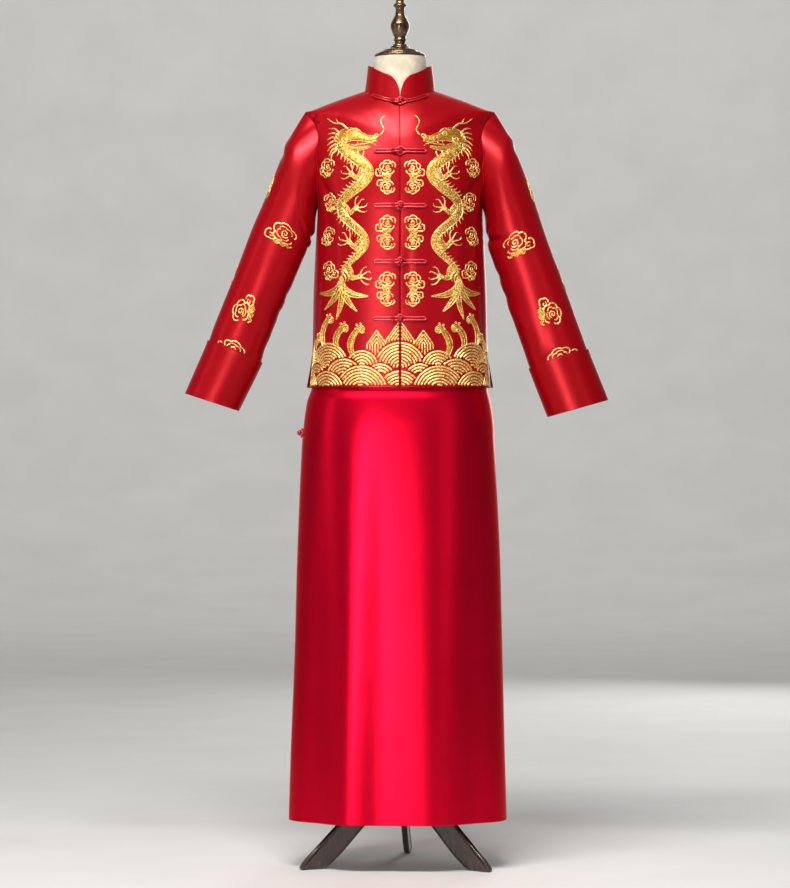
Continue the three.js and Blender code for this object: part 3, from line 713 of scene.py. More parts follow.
def build_robe():
    tip = ROBE_FIRST + TIP
    armpit = ROBE_FIRST + ARMPIT
    s, front_y, back_y = panel_rows(armpit, tip, ROBE_ARMHOLE_GROWTH, 0, tip + 2.6, 110, 24, 16)
    side = robe.angle_at_y(s, front_y)
    front = panel("robe_front_cloth", robe, s, -side, side, 110, ROBE_SATIN)
    behind = robe.angle_at_y(s, back_y)
    back = panel("robe_back_cloth", robe, s, behind, 2 * math.pi - behind, 110, ROBE_SATIN)
    finish_piece(front, "red_satin", "robe_front")
    finish_piece(back, "red_satin", "robe_back")


SLEEVE_CREASES = {
    "right": table(
        "turn s length width tilt depth",
        (-8, 1.1, 34, 9, 70, 2.6),
        (8, 1.45, 30, 8, 75, -2.6),
        (172, 2.5, 46, 9, 58, -3.2),
        (150, 3.1, 44, 8, 50, -2.0),
        (196, 2.3, 50, 10, 118, -2.8),
        (170, 4.9, 34, 9, 78, -2.2),
        (184, 5.25, 36, 8, 96, -2.4),
        (160, 5.6, 30, 9, 64, 1.6),
        (262, 3.2, 90, 15, 12, -2.0),
        (300, 5.6, 80, 14, -14, 1.8),
        (62, 3.4, 110, 18, 8, 1.4),
        (110, 5.5, 90, 16, -12, -1.3),
    ),
    "left": table(
        "turn s length width tilt depth",
        (6, 1.0, 34, 9, -72, 2.4),
        (-6, 1.4, 30, 8, -70, -2.4),
        (168, 2.6, 52, 9, -60, -3.6),
        (142, 2.9, 46, 8, -46, -2.6),
        (190, 2.2, 50, 10, -112, -2.6),
        (166, 4.5, 36, 10, -72, -3.0),
        (178, 4.9, 40, 9, -88, -2.2),
        (150, 5.3, 34, 9, -58, 1.8),
        (258, 3.5, 90, 15, -10, -2.0),
        (304, 5.2, 80, 14, 16, 1.7),
        (70, 3.9, 100, 18, -8, 1.3),
        (104, 5.9, 80, 15, 14, -1.4),
    ),
}
SIDES = {"right": -1, "left": 1}
SLEEVE_RADIUS = 52  # turns an angle round a sleeve into a distance


class Sleeve:
    """A sleeve's surface over a turn round it, 0 outside and a quarter at the front, and a section."""

    ROOT_LIFT = 0.5
    ROOT_INSET = 0.4
    ALLOWANCE = 3.0  # of cloth inside the armhole's seam

    def __init__(self, name):
        self.side = SIDES[name]
        self.sections = SLEEVES[name]
        self.creases = SLEEVE_CREASES[name]
        middles = [(r["outer_x"] + r["inner_x"], r["outer_z"] + r["inner_z"]) for r in self.sections]
        runs = np.linalg.norm(np.diff(np.array(middles) / 2, axis=0), axis=1)
        self.distances = np.concatenate([[0, 40], 40 + np.cumsum(runs)])
        self.root_turns = np.linspace(0, 2 * math.pi, 1441)
        cut_s, cut_y = armhole_cut(ARMPIT, TIP, 0, self.root_turns, self.ROOT_INSET)
        root_angle = self.side * jacket_plain.angle_at_y(cut_s, cut_y)
        self.root = jacket.lifted(root_angle, cut_s, self.ROOT_LIFT)

    def seam_allowance(self, turns, lift):
        """Two rows of the sleeve's cloth, from under the body's cloth up into the seam."""
        rows = []
        for inset in (-self.ALLOWANCE, self.ROOT_INSET):
            cut_s, cut_y = armhole_cut(ARMPIT, TIP, 0, turns, inset)
            angle = self.side * jacket_plain.angle_at_y(cut_s, cut_y)
            rows.append(jacket.lifted(angle, cut_s, lift))
        return np.stack(rows)

    def distance(self, s):
        """Distance down the sleeve at a section number."""
        return np.interp(s, np.arange(len(self.distances)), self.distances)

    def section(self, distance):
        return np.interp(distance, self.distances, np.arange(len(self.distances)))

    def plain(self, turn, s):
        shape = turn.shape
        turn = turn.ravel()
        out, front = np.cos(turn), np.sin(turn)
        around = np.mod(turn, 2 * math.pi)
        rows = [np.stack([np.interp(around, self.root_turns, axis) for axis in self.root.T], -1)]
        for row in self.sections:
            x = (row["outer_x"] + row["inner_x"]) / 2 + (row["outer_x"] - row["inner_x"]) / 2 * out
            y = -row["forward"] - row["half_depth"] * front
            z = (row["outer_z"] + row["inner_z"]) / 2 + (row["outer_z"] - row["inner_z"]) / 2 * out
            rows.append(np.stack([self.side * x, y, z], -1))
        return smooth(np.stack(rows), s.ravel()).reshape(*shape, 3)

    def relief(self, turn, s):
        out = 0
        run = self.distance(s)
        for crease in self.creases:
            aside = np.degrees(turn) - crease["turn"]
            aside = np.radians(aside - 360 * np.round(aside / 360)) * SLEEVE_RADIUS
            down = run - self.distance(crease["s"])
            tilt = math.radians(crease["tilt"])
            across = aside * math.cos(tilt) - down * math.sin(tilt)
            along = aside * math.sin(tilt) + down * math.cos(tilt)
            out = out + crease["depth"] * trough(across, along, crease["width"], crease["length"])
        fade = np.clip((s - 0.25) / 0.6, 0, 1) * np.clip((CUFF_TOP - 0.1 - s) / 0.5, 0, 1)
        return out * fade

    def frame_at(self, turn, s):
        """Points and outward normals. The turns run round the sleeve in its own sense."""
        turn, s = np.broadcast_arrays(np.asarray(turn, float), np.asarray(s, float))
        step = 1e-3
        at = self.plain(turn, s)
        around = self.plain(turn + step, s) - self.plain(turn - step, s)
        along = self.plain(turn, s + step) - self.plain(turn, np.maximum(s - step, 0))
        normal = np.cross(around, along) * self.side
        normal = normal / np.linalg.norm(normal, axis=-1, keepdims=True)
        return at, normal

    def lifted(self, turn, s, lift, creased=True):
        at, normal = self.frame_at(turn, s)
        out = lift + (self.relief(turn, s) if creased else 0)
        return at + normal * np.broadcast_to(out, at.shape[:-1])[..., None]


sleeves = {name: Sleeve(name) for name in SIDES}


def build_sleeve(name):
    sleeve = sleeves[name]
    turns = np.linspace(0, sleeve.side * 2 * math.pi, 97)[:-1]
    s = SLEEVE_END * close_to_edges(104, 0.001)
    turn_grid, s_grid = np.meshgrid(turns, s)
    under = np.exp(-s_grid / 0.05)
    outer = sleeve.lifted(turn_grid, s_grid, -EDGE_ROLL * under)
    inner = sleeve.lifted(turn_grid, s_grid, -CLOTH)
    below = -CLOTH - 0.3
    outer = np.concatenate([sleeve.seam_allowance(turns, below), outer])
    inner = np.concatenate([sleeve.seam_allowance(turns, below - CLOTH), inner])
    tube = shell(f"sleeve_{name}_cloth", outer, inner, RED_SATIN, wraps=True)
    finish_piece(tube, "red_satin", f"sleeve_{name}")


CUFF_EDGE = 1.6  # width of the band's rounded edges
CUFF_ROUND_OFF = 0.75
CUFF_STAND = 0.8  # how far the upper edge stands off the sleeve
CUFF_WAVE = 0.25


def build_cuff(name):
    """A turned-back cuff: a pressed band with a soft upper edge and a rounded fold below."""
    sleeve = sleeves[name]
    turns = np.linspace(0, sleeve.side * 2 * math.pi, 97)[:-1]
    end = SLEEVE_END + CUFF_FOLD / CUFF_LENGTH
    edge = CUFF_EDGE / CUFF_LENGTH
    near_edge = edge * np.array([0, 0.35, 0.7])
    inside = np.linspace(CUFF_TOP + edge, end - edge, 30)
    s = np.concatenate([CUFF_TOP + near_edge, inside, end - near_edge[::-1]])
    turn_grid, s_grid = np.meshgrid(turns, s)
    from_edge = np.minimum(s_grid - CUFF_TOP, end - s_grid) / edge
    round_off = CUFF_ROUND_OFF * (1 - np.clip(from_edge, 0, 1)) ** 2
    stand = CUFF_STAND * np.exp(-(s_grid - CUFF_TOP) / 0.08)
    wave = CUFF_WAVE * np.sin(3 * turn_grid + 1.1) * np.exp(-(s_grid - CUFF_TOP) / 0.15)
    outer_lift = SEAM + CUFF_CLOTH + stand + wave - round_off
    outer = sleeve.lifted(turn_grid, s_grid, outer_lift, creased=False)
    inner = sleeve.lifted(turn_grid, s_grid, SEAM + stand * 0.7, creased=False)
    band = shell(f"cuff_{name}_cloth", outer, inner, RED_SATIN, wraps=True)
    finish_piece(band, "red_satin", f"cuff_{name}")


def build_collar():
    """A stand collar with rounded front ends and a fine rolled edge."""
    end = float(jacket_plain.angle_at_x(np.array(float(NECK)), SEAM / 2))
    # Angles close together at the rounded ends
    t = np.linspace(-1, 1, 190)
    bunched = 0.5 + 0.5 * (0.55 * t + 0.45 * np.sin(t * math.pi / 2))
    angle = end + (2 * math.pi - 2 * end) * (bunched - bunched[0]) / (bunched[-1] - bunched[0])
    base = jacket_plain.at(angle, np.full_like(angle, NECK))
    in_corner = np.minimum(1, np.abs(base[:, 0]) / COLLAR_CORNER)
    corner = (1 - (1 - in_corner) ** COLLAR_CORNER_POWER) ** (1 / COLLAR_CORNER_POWER)
    share_up = np.where(np.cos(angle) > 0, np.maximum(corner, COLLAR_END_SHARE), 1)
    outward = np.stack([np.sin(angle), -np.cos(angle), np.zeros_like(angle)], -1)
    rows = np.concatenate([[0, 0.02], np.linspace(0.08, 0.9, 12), [0.94, 0.965, 0.985, 1.0]])
    height = COLLAR_HEIGHT * rows[:, None] * share_up[None, :]
    lean = COLLAR_LEAN * height / COLLAR_HEIGHT
    over_edge = np.clip((rows - 0.965) / 0.035, 0, 1) ** 2
    roll = COLLAR_ROLL * np.exp(-((rows - 0.955) / 0.022) ** 2) - COLLAR_ROUND_OFF * over_edge
    soft = COLLAR_WAVE * np.sin(np.pi * rows)[:, None] * np.sin(5 * angle + 0.6)[None, :]
    upward = np.array([0, 0, 1.0])

    def grid(lift):
        out = lift - lean
        return base[None] + outward[None] * out[..., None] + upward * (0.5 + height)[..., None]

    outer = grid(roll[:, None] + soft)
    inner = grid(-COLLAR_CLOTH + 0.5 * over_edge[:, None] + soft)
    collar = shell("collar_cloth", outer, inner, RED_SATIN)
    finish_piece(collar, "red_satin", "collar")


# Frogs

def tube_mesh(centres, radius, sides, closed):
    """Corners and faces of a round cord along a line of points."""
    centres = np.asarray(centres, float)
    count = len(centres)
    if closed:
        tangent = np.roll(centres, -1, axis=0) - np.roll(centres, 1, axis=0)
    else:
        tangent = np.gradient(centres, axis=0)
    tangent /= np.linalg.norm(tangent, axis=1, keepdims=True)
    across = np.zeros_like(tangent)
    helper = np.array([0.0, 0.0, 1.0]) if abs(tangent[0][2]) < 0.9 else np.array([1.0, 0.0, 0.0])
    across[0] = np.cross(tangent[0], helper)
    across[0] /= np.linalg.norm(across[0])
    for i in range(1, count):
        step = across[i - 1] - tangent[i] * np.dot(across[i - 1], tangent[i])
        across[i] = step / np.linalg.norm(step)
    other = np.cross(tangent, across)
    turn = np.linspace(0, 2 * math.pi, sides, endpoint=False)
    radius = np.broadcast_to(radius, count)
    ring = across[:, None] * np.cos(turn)[None, :, None] + other[:, None] * np.sin(turn)[None, :, None]
    corners = centres[:, None] + ring * radius[:, None, None]
    return corners.reshape(-1, 3), ring_faces(count, sides, closed)


def merged(parts):
    """Several lots of corners and faces as one."""
    corners = []
    faces = []
    start = 0
    for part_corners, part_faces in parts:
        corners.append(part_corners)
        faces += [[corner + start for corner in face] for face in part_faces]
        start += len(part_corners)
    return np.vstack(corners), faces


def closed_through(points, step):
    """A smooth line through points and back to the first, as points about one step apart."""
    points = np.asarray(points, float)
    line = through(np.vstack([points, points[:3]]), step)
    away = np.linalg.norm(line - points[1], axis=1)
    half = len(line) // 2
    return line[int(np.argmin(away[:half])): half + int(np.argmin(away[half:]))]


def ball_knot(centre, out, right, radius):
    """A round button knot: one cord woven over and under itself round a ball."""
    up = np.cross(out, right)
    t = np.linspace(0, 2 * math.pi, 240, endpoint=False)
    longitude = 3 * t
    latitude = 1.05 * np.cos(4 * t)
    level = radius - 1.35 + 0.55 * np.sin(12 * t)
    local = np.stack([
        np.cos(latitude) * np.cos(longitude),
        np.cos(latitude) * np.sin(longitude),
        np.sin(latitude),
    ], -1) * level[:, None]
    points = centre + local[:, :1] * right + local[:, 1:2] * up + local[:, 2:] * out
    return tube_mesh(points, 1.35, 8, True)


def frog_halves(place, reach):
    """The loop half and the knot half. place(u, w, lift) takes u to the loop's side and w up."""
    flat = SEAM + CORD
    strap = lambda start: [(u, CORD_HALF_GAP, flat) for u in (start, (start + reach) / 2, reach - 2)]
    mirrored = lambda points: [(u, -w, lift) for u, w, lift in points][::-1]
    loop_side = [(-FROG_LOOP, 0, flat), (0, FROG_LOOP, flat), (FROG_LOOP + 1, CORD_HALF_GAP + 0.8, flat)]
    loop_side += strap(STRAP_START)
    loop_points = loop_side + [(reach + 1, 0, flat)] + mirrored(loop_side[1:])
    over = flat + CORD_OVER
    knot_side = [(4, CORD_HALF_GAP, over), (9, CORD_HALF_GAP, over), (13, CORD_HALF_GAP, flat + 2.4)]
    knot_side += strap(STRAP_START + 4)
    knot_points = knot_side + [(reach + 1, 0, flat)] + mirrored(knot_side) + [(0.5, 0, over)]

    loop_line = closed_through([place(*point) for point in loop_points], 0.9)
    knot_line = closed_through([place(-u, w, lift) for u, w, lift in knot_points], 0.9)
    left, right = place(-FROG_LOOP, 0, flat), place(FROG_LOOP, 0, flat)
    low, high = place(0, -FROG_LOOP, flat), place(0, FROG_LOOP, flat)
    out = np.cross(right - left, high - low)
    out /= np.linalg.norm(out)
    middle = (left + right + low + high) / 4
    sideways = (right - left) / np.linalg.norm(right - left)
    centre = middle + out * (FROG_BALL_LIFT - flat)
    loop_parts = [tube_mesh(loop_line, cord_radius(len(loop_line)), 10, True)]
    knot_parts = [tube_mesh(knot_line, cord_radius(len(knot_line)), 10, True)]
    knot_parts.append(ball_knot(centre, out, sideways, FROG_BALL + 0.5))
    return merged(loop_parts), merged(knot_parts)


def cord_radius(count):
    """A satin cord's radius along its length, with the faint rise and fall of its twist."""
    return CORD * (1 + 0.035 * np.sin(np.arange(count) * 1.9))


def build_frogs(front):
    def front_place(height):
        def place(u, w, lift):
            side = "left" if u >= 0 else "right"
            return front[side](np.array([abs(u)]), np.array([height + w]), np.array([lift]))[0]
        return place

    def neck_place(u, w, lift):
        ring_height = 27
        clear = 0.5
        angle = math.copysign(float(jacket_plain.angle_at_x(np.array(float(NECK)), abs(u))), u)
        above = w - 1
        outward = np.array([math.sin(angle), -math.cos(angle), 0])
        on_cloth = min(lift, SEAM + CORD)
        if above < 0:
            place = jacket_plain.lifted(angle, NECK + above / ring_height, on_cloth + clear)
        else:
            place = jacket_plain.at(angle, float(NECK)) + outward * (on_cloth + clear)
            place = place + np.array([0, 0, above + clear])
        return place + outward * (lift - on_cloth)

    def side_place(u, w, lift):
        height = SIDE_FROG_HEIGHT + w
        angle_of = lambda s: -robe.angle_at_y(s, -u)
        s = halve(np.array(0.0), np.array(8.0), lambda s: robe.at(angle_of(s), s)[..., 2] < height)
        return robe.lifted(angle_of(s), s, np.array(float(lift)))

    places = [("frog_neck", neck_place, FROG_REACH), ("frog_side", side_place, SIDE_FROG_REACH)]
    for i, height in enumerate(FROG_HEIGHTS):
        places.append((f"frog_front_{i + 1}", front_place(height), FROG_REACH))
    for name, place, reach in places:
        for half, (corners, faces) in zip(("loop", "knot"), frog_halves(place, reach)):
            piece = mesh_object(f"{name}_{half}_cord", corners, faces, RED_CORD)
            finish_piece(piece, "red_cord", f"{name}_{half}")


# The embroidery's ground

def blended(points, normals, row, column, lift):
    """Points lifted off a grid of surface points, at row and column numbers between its own."""
    row = np.clip(row, 0, points.shape[0] - 1.001)
    column = np.clip(column, 0, points.shape[1] - 1.001)
    i, j = np.floor(row).astype(int), np.floor(column).astype(int)
    a, b = (row - i)[:, None], (column - j)[:, None]

    def mix(field):
        low = field[i, j] * (1 - b) + field[i, j + 1] * b
        high = field[i + 1, j] * (1 - b) + field[i + 1, j + 1] * b
        return low * (1 - a) + high * a

    normal = mix(normals)
    normal = normal / np.linalg.norm(normal, axis=1, keepdims=True)
    return mix(points) + normal * lift[:, None]


class FrontMap:
    """Points on one front of the jacket, by distance round from the centre front and by height."""

    PITCH = 2.0
    LOW = 954.0
    HIGH = 1500.0

    def __init__(self, side):
        angles = np.linspace(0, math.pi / 2 + 0.04, 200)
        s = np.linspace(0, NECK, 500)
        heights_at = jacket_plain.at(angles[None, :], s[:, None])[..., 2]
        self.heights = np.arange(self.LOW, self.HIGH, self.PITCH)
        rings = np.stack([np.interp(self.heights, heights_at[:, j], s) for j in range(len(angles))], 1)
        grid = np.broadcast_to(angles, rings.shape)
        points = jacket_plain.at(grid, rings)
        steps = np.linalg.norm(np.diff(points, axis=1), axis=2)
        reached = np.concatenate([np.zeros((len(rings), 1)), np.cumsum(steps, axis=1)], axis=1)
        self.distances = np.arange(0, reached[:, -1].min(), self.PITCH)
        angle = np.stack([np.interp(self.distances, row, angles) for row in reached])
        ring = np.stack([np.interp(self.distances, row, own) for row, own in zip(reached, rings)])
        self.points = jacket.at(side * angle, ring)
        self.normals = jacket.normal(side * angle, ring)
        self.edge = np.array([np.interp(math.pi / 2, angles, row) for row in reached])

    def side_edge(self, z):
        """Distance from the centre front to the side seam at a height."""
        return np.interp(z, self.heights, self.edge)

    def __call__(self, u, z, lift):
        return blended(self.points, self.normals, (z - self.LOW) / self.PITCH, u / self.PITCH, lift)


class SleeveMap:
    """Points on a sleeve, by distance round it from its outer edge and by distance down it."""

    PITCH = 2.5
    OVERLAP = 60  # the map goes on this far past a whole turn, either way

    def __init__(self, sleeve):
        whole = 2 * math.pi * SLEEVE_RADIUS
        around = np.arange(-self.OVERLAP, whole + self.OVERLAP, self.PITCH)
        down = np.arange(0, sleeve.distances[-1], self.PITCH)
        turns, s = np.meshgrid(around / SLEEVE_RADIUS, sleeve.section(down))
        self.points, self.normals = sleeve.frame_at(turns, s)
        self.points = self.points + self.normals * sleeve.relief(turns, s)[..., None]

    def __call__(self, around, down, lift):
        column = (around + self.OVERLAP) / self.PITCH
        return blended(self.points, self.normals, down / self.PITCH, column, lift)


front_maps = {name: FrontMap(side) for name, side in SIDES.items()}


# Embroidery strokes

RIBBON = [(-1.0, -0.35), (-0.82, 0.55), (-0.35, 0.95), (0.35, 0.95), (0.82, 0.55), (1.0, -0.35)]
STITCH_STEP = 1.9


class Needlework:
    """Collects raised stitched strokes on a ground, which place(u, z, lift) gives.

    Forms are laid in a deeper gold first, and bright strokes go over them."""

    def __init__(self, place, keep=None):
        self.place = place
        self.keep = keep
        self.bright = []
        self.deep = []

    def mirror(self):
        """Turns the faces outwards again on a ground that runs the other way."""
        self.bright = [(corners, [face[::-1] for face in faces]) for corners, faces in self.bright]
        self.deep = [(corners, [face[::-1] for face in faces]) for corners, faces in self.deep]

    def ribbon(self, line, widths, heights, deep):
        """A ribbon of thread with a rounded back along a line."""
        count = len(line)
        if count < 2:
            return
        sideways = across_of(line)
        columns = []
        for across, up in RIBBON:
            at = line + sideways * (widths / 2 * across)[:, None]
            lift = np.where(up > 0, up * heights, up)
            columns.append(self.place(at[:, 0], at[:, 1], lift))
        corners = np.stack(columns, 1).reshape(-1, 3)
        (self.deep if deep else self.bright).append((corners, ring_faces(count, len(RIBBON))))

    def lay(self, line, widths, heights, deep=False):
        """A ribbon along the stretches of a line that lie on the ground."""
        kept = self.keep(line[:, 0], line[:, 1]) if self.keep else np.ones(len(line), bool)
        edges = np.flatnonzero(np.diff(np.concatenate([[0], kept.astype(int), [0]])))
        for start, stop in zip(edges[::2], edges[1::2]):
            self.ribbon(line[start:stop], widths[start:stop], heights[start:stop], deep)

    def stroke(self, points, width, height=1.1, taper=True, step=STITCH_STEP):
        """A smooth bright stroke. width is one number, or several spread evenly along it."""
        line = through(points, step)
        widths = spread_widths(width, len(line))
        if taper:
            ends = np.minimum(np.arange(len(line)), np.arange(len(line))[::-1]) * step
            widths = widths * np.clip(0.35 + ends / (1.6 * np.maximum(widths, 1)), 0.35, 1)
        self.lay(line, widths, height * np.clip(widths / 2.4, 0.5, 1))

    def form(self, points, width, height=1.3, rim=1.6, vein=True):
        """A form laid in the deeper gold, with a bright rim and a bright vein down its middle."""
        line = through(points, STITCH_STEP)
        widths = spread_widths(width, len(line))
        self.lay(line, widths, np.full(len(line), height), deep=True)
        sideways = across_of(line)
        rims = np.full(len(line), rim)
        heights = np.full(len(line), height + 0.7)
        for sense in (-1, 1):
            self.lay(line + sideways * (widths / 2 * sense)[:, None], rims, heights)
        if vein:
            self.lay(line[2:-2], rims[2:-2] * 0.8, heights[2:-2] + 0.2)

    def pieces(self, name):
        for suffix, parts, material in (("", self.bright, GOLD), ("_ground", self.deep, GOLD_GROUND)):
            if parts:
                corners, faces = merged(parts)
                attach(mesh_object(name + suffix, corners, faces, material), "root")


def across_of(line):
    """The unit direction across a line at each of its points."""
    ahead = np.gradient(line, axis=0)
    ahead = ahead / np.maximum(np.linalg.norm(ahead, axis=1, keepdims=True), 1e-6)
    return np.stack([ahead[:, 1], -ahead[:, 0]], -1)


def spread_widths(width, count):
    given = np.atleast_1d(np.asarray(width, float))
    return np.interp(np.linspace(0, 1, count), np.linspace(0, 1, len(given)), given)


def turned_by(points, degrees):
    turn = math.radians(degrees)
    points = np.asarray(points, float)
    x = points[:, 0] * math.cos(turn) - points[:, 1] * math.sin(turn)
    y = points[:, 0] * math.sin(turn) + points[:, 1] * math.cos(turn)
    return np.stack([x, y], -1)


def spiral(centre, radius, turns, start, sense=1):
    """Points of a curl that winds inwards."""
    count = max(8, int(16 * turns))
    t = np.linspace(0, 1, count)
    angle = math.radians(start) + sense * 2 * math.pi * turns * t
    size = radius * (1 - 0.86 * t)
    return np.stack([centre[0] + size * np.cos(angle), centre[1] + size * np.sin(angle)], -1)


def lobed_ring(centre, radius, lobes, start, sweep, squash=1.0, heading=0.0):
    """An outline with round lobes, as a cloud's edge."""
    t = np.linspace(0, 1, int(10 * lobes) + 1)
    angle = math.radians(start) + math.radians(sweep) * t
    size = radius * (0.80 + 0.22 * np.abs(np.sin(math.pi * lobes * t)) ** 0.6)
    local = np.stack([size * np.cos(angle), squash * size * np.sin(angle)], -1)
    return np.asarray(centre) + turned_by(local, heading)


def cloud(work, centre, radius, heading, sense=1, width=2.6, waves=3):
    """A cloud head of lobes round a curl, a smaller lobe beside it and a winding tail."""
    centre = np.asarray(centre, float)
    local = lambda points: centre + turned_by(np.asarray(points) * (1, sense), heading)
    outer = lobed_ring((0, 0), radius, 5, -150, 330, 0.86)
    inner = lobed_ring((0, 0), radius * 0.64, 4, -140, 310, 0.84)
    work.stroke(local(outer), width)
    work.stroke(local(inner), width * 0.72)
    work.stroke(local(spiral((0, 0), radius * 0.34, 1.4, 200)), width * 0.8)
    beside = lobed_ring((radius * 1.02, -radius * 0.62), radius * 0.52, 3, -170, 250, 0.9)
    work.stroke(local(beside), width)
    work.stroke(local(spiral((radius * 0.98, -radius * 0.62), radius * 0.24, 1.0, 30)), width * 0.6)
    along = np.linspace(0, 1, 2 * waves + 1)
    tail = np.stack([0.6 - 0.5 * waves * along, -1.05 + 0.14 * np.cos(math.pi * 2 * waves * along)], -1)
    tail_widths = width * np.array([1.7, 1.9, 1.2, 0.4])
    work.form(local(tail * radius), tail_widths, rim=1.3, vein=False)


def talons(work, at, heading, size):
    """A dragon's claw: four talons ahead and one behind, round a knuckle."""
    at = np.asarray(at, float)
    for spread_out, bend in ((-52, -0.16), (-18, -0.08), (16, 0.08), (50, 0.18)):
        toe = [(0, 0), (0.5, bend), (0.95, 0.1 * np.sign(bend)), (1.12, -0.12 * np.sign(bend))]
        work.stroke(at + turned_by(np.array(toe) * size, heading + spread_out), [3.6, 2.6, 1.0], 1.6)
    back_toe = np.array([(0, 0), (0.45, 0.12), (0.7, -0.05)]) * size
    work.stroke(at + turned_by(back_toe, heading + 160), [3, 1], 1.5)
    work.stroke(lobed_ring(at, size * 0.2, 3, 0, 360), 3.2, 1.9)


def run_along(line):
    """Distance along a line at each of its points."""
    return np.concatenate([[0], np.cumsum(np.linalg.norm(np.diff(line, axis=0), axis=1))])


def scale_arcs(work, line, widths, pitch):
    """Rows of small round scales along a line, each row between those of the last."""
    side = across_of(line)
    ahead = np.stack([-side[:, 1], side[:, 0]], -1)
    run = run_along(line)
    for row in range(1, int(run[-1] / pitch)):
        i = int(np.searchsorted(run, row * pitch))
        half = widths[i] / 2
        lanes = (-0.62, 0.0, 0.62) if row % 2 else (-0.31, 0.31)
        reach = half * 0.27
        for lane in lanes:
            mid = line[i] + side[i] * lane * half
            foot = ahead[i] * pitch * 0.28
            apart = side[i] * reach
            arc = [mid - apart - foot, mid + ahead[i] * pitch * 0.42, mid + apart - foot]
            work.stroke(arc, 1.5, height=2.7, step=1.4)


def limb(work, points, width, end_width):
    """A leg with small scales down it; dragon_limbs adds the tufts behind."""
    work.form(points, [width, width * 0.85, end_width], height=1.5, vein=False)
    line = through(points, STITCH_STEP)
    scale_arcs(work, line, spread_widths([width, end_width], len(line)), 4.2)


def flame(work, base, tip, bend, width):
    """A tongue that tapers from its base to its tip and bends to one side."""
    base, tip = np.asarray(base, float), np.asarray(tip, float)
    across = np.array([-(tip - base)[1], (tip - base)[0]])
    middle = (base + tip) / 2 + across * bend
    work.stroke([base, middle, tip], [width, width * 0.75, 0.8], height=1.5)


# The dragon's middle line winds down the front in even bends
DRAGON_TOP = 1440
DRAGON_LENGTH = 272
DRAGON_MIDDLE = 94
DRAGON_SWING = 34
DRAGON_BENDS = 2
DRAGON_WIDTH = 19
HEAD_LENGTH = 84
HEAD_TILT = 4
DRAGON_LEGS = ((0.25, -1), (0.5, 1), (0.75, -1), (0.93, 1))  # share of the body, side
LEG_CLAW = 21
TAIL_PLUMES = 5
PLUME_HEADING = -86
PLUME_SPREAD = 23


def dragon_line():
    """The middle line from the nape to the tail, with its width and the ways aside and ahead."""
    t = np.linspace(0, 1, 40)
    swing = DRAGON_SWING * (1 - 0.3 * t)
    u = DRAGON_MIDDLE + swing * np.cos(2 * math.pi * DRAGON_BENDS * t)
    line = through(list(zip(u, DRAGON_TOP - DRAGON_LENGTH * t)), STITCH_STEP)
    share = np.linspace(0, 1, len(line))
    width = DRAGON_WIDTH * np.clip(0.75 + 1.5 * share, 0, 1) * (1 - share) ** 0.55 + 4
    side = across_of(line)
    ahead = np.stack([-side[:, 1], side[:, 0]], -1)
    return line, width, side, ahead


def dragon_body(work):
    """The long body: a ground of deep gold, rows of scales and a crest of spines on the outer side."""
    line, width, side, ahead = dragon_line()
    work.lay(line, width, np.full(len(line), 1.4), deep=True)
    scale_arcs(work, line, width, 5.2)
    for sense in (-1, 1):
        work.stroke(line[4:-6:3] + side[4:-6:3] * (width[4:-6:3] / 2 * sense)[:, None], 1.9, height=2.1)
    run = run_along(line)
    spine_pitch = 8.0
    for row in range(1, int(run[-1] / spine_pitch) - 1):
        i = int(np.searchsorted(run, row * spine_pitch))
        root = line[i] - side[i] * width[i] * 0.45
        tip = root - side[i] * (5 + width[i] * 0.3) + ahead[i] * 6.5
        flame(work, root, tip, -0.12, 3.6)


def on_head(points):
    """From head lengths ahead of the nape and above it to a place on the front."""
    nape = (DRAGON_MIDDLE + DRAGON_SWING, DRAGON_TOP)
    return nape + turned_by(np.array(points, float) * (-HEAD_LENGTH, HEAD_LENGTH), HEAD_TILT)


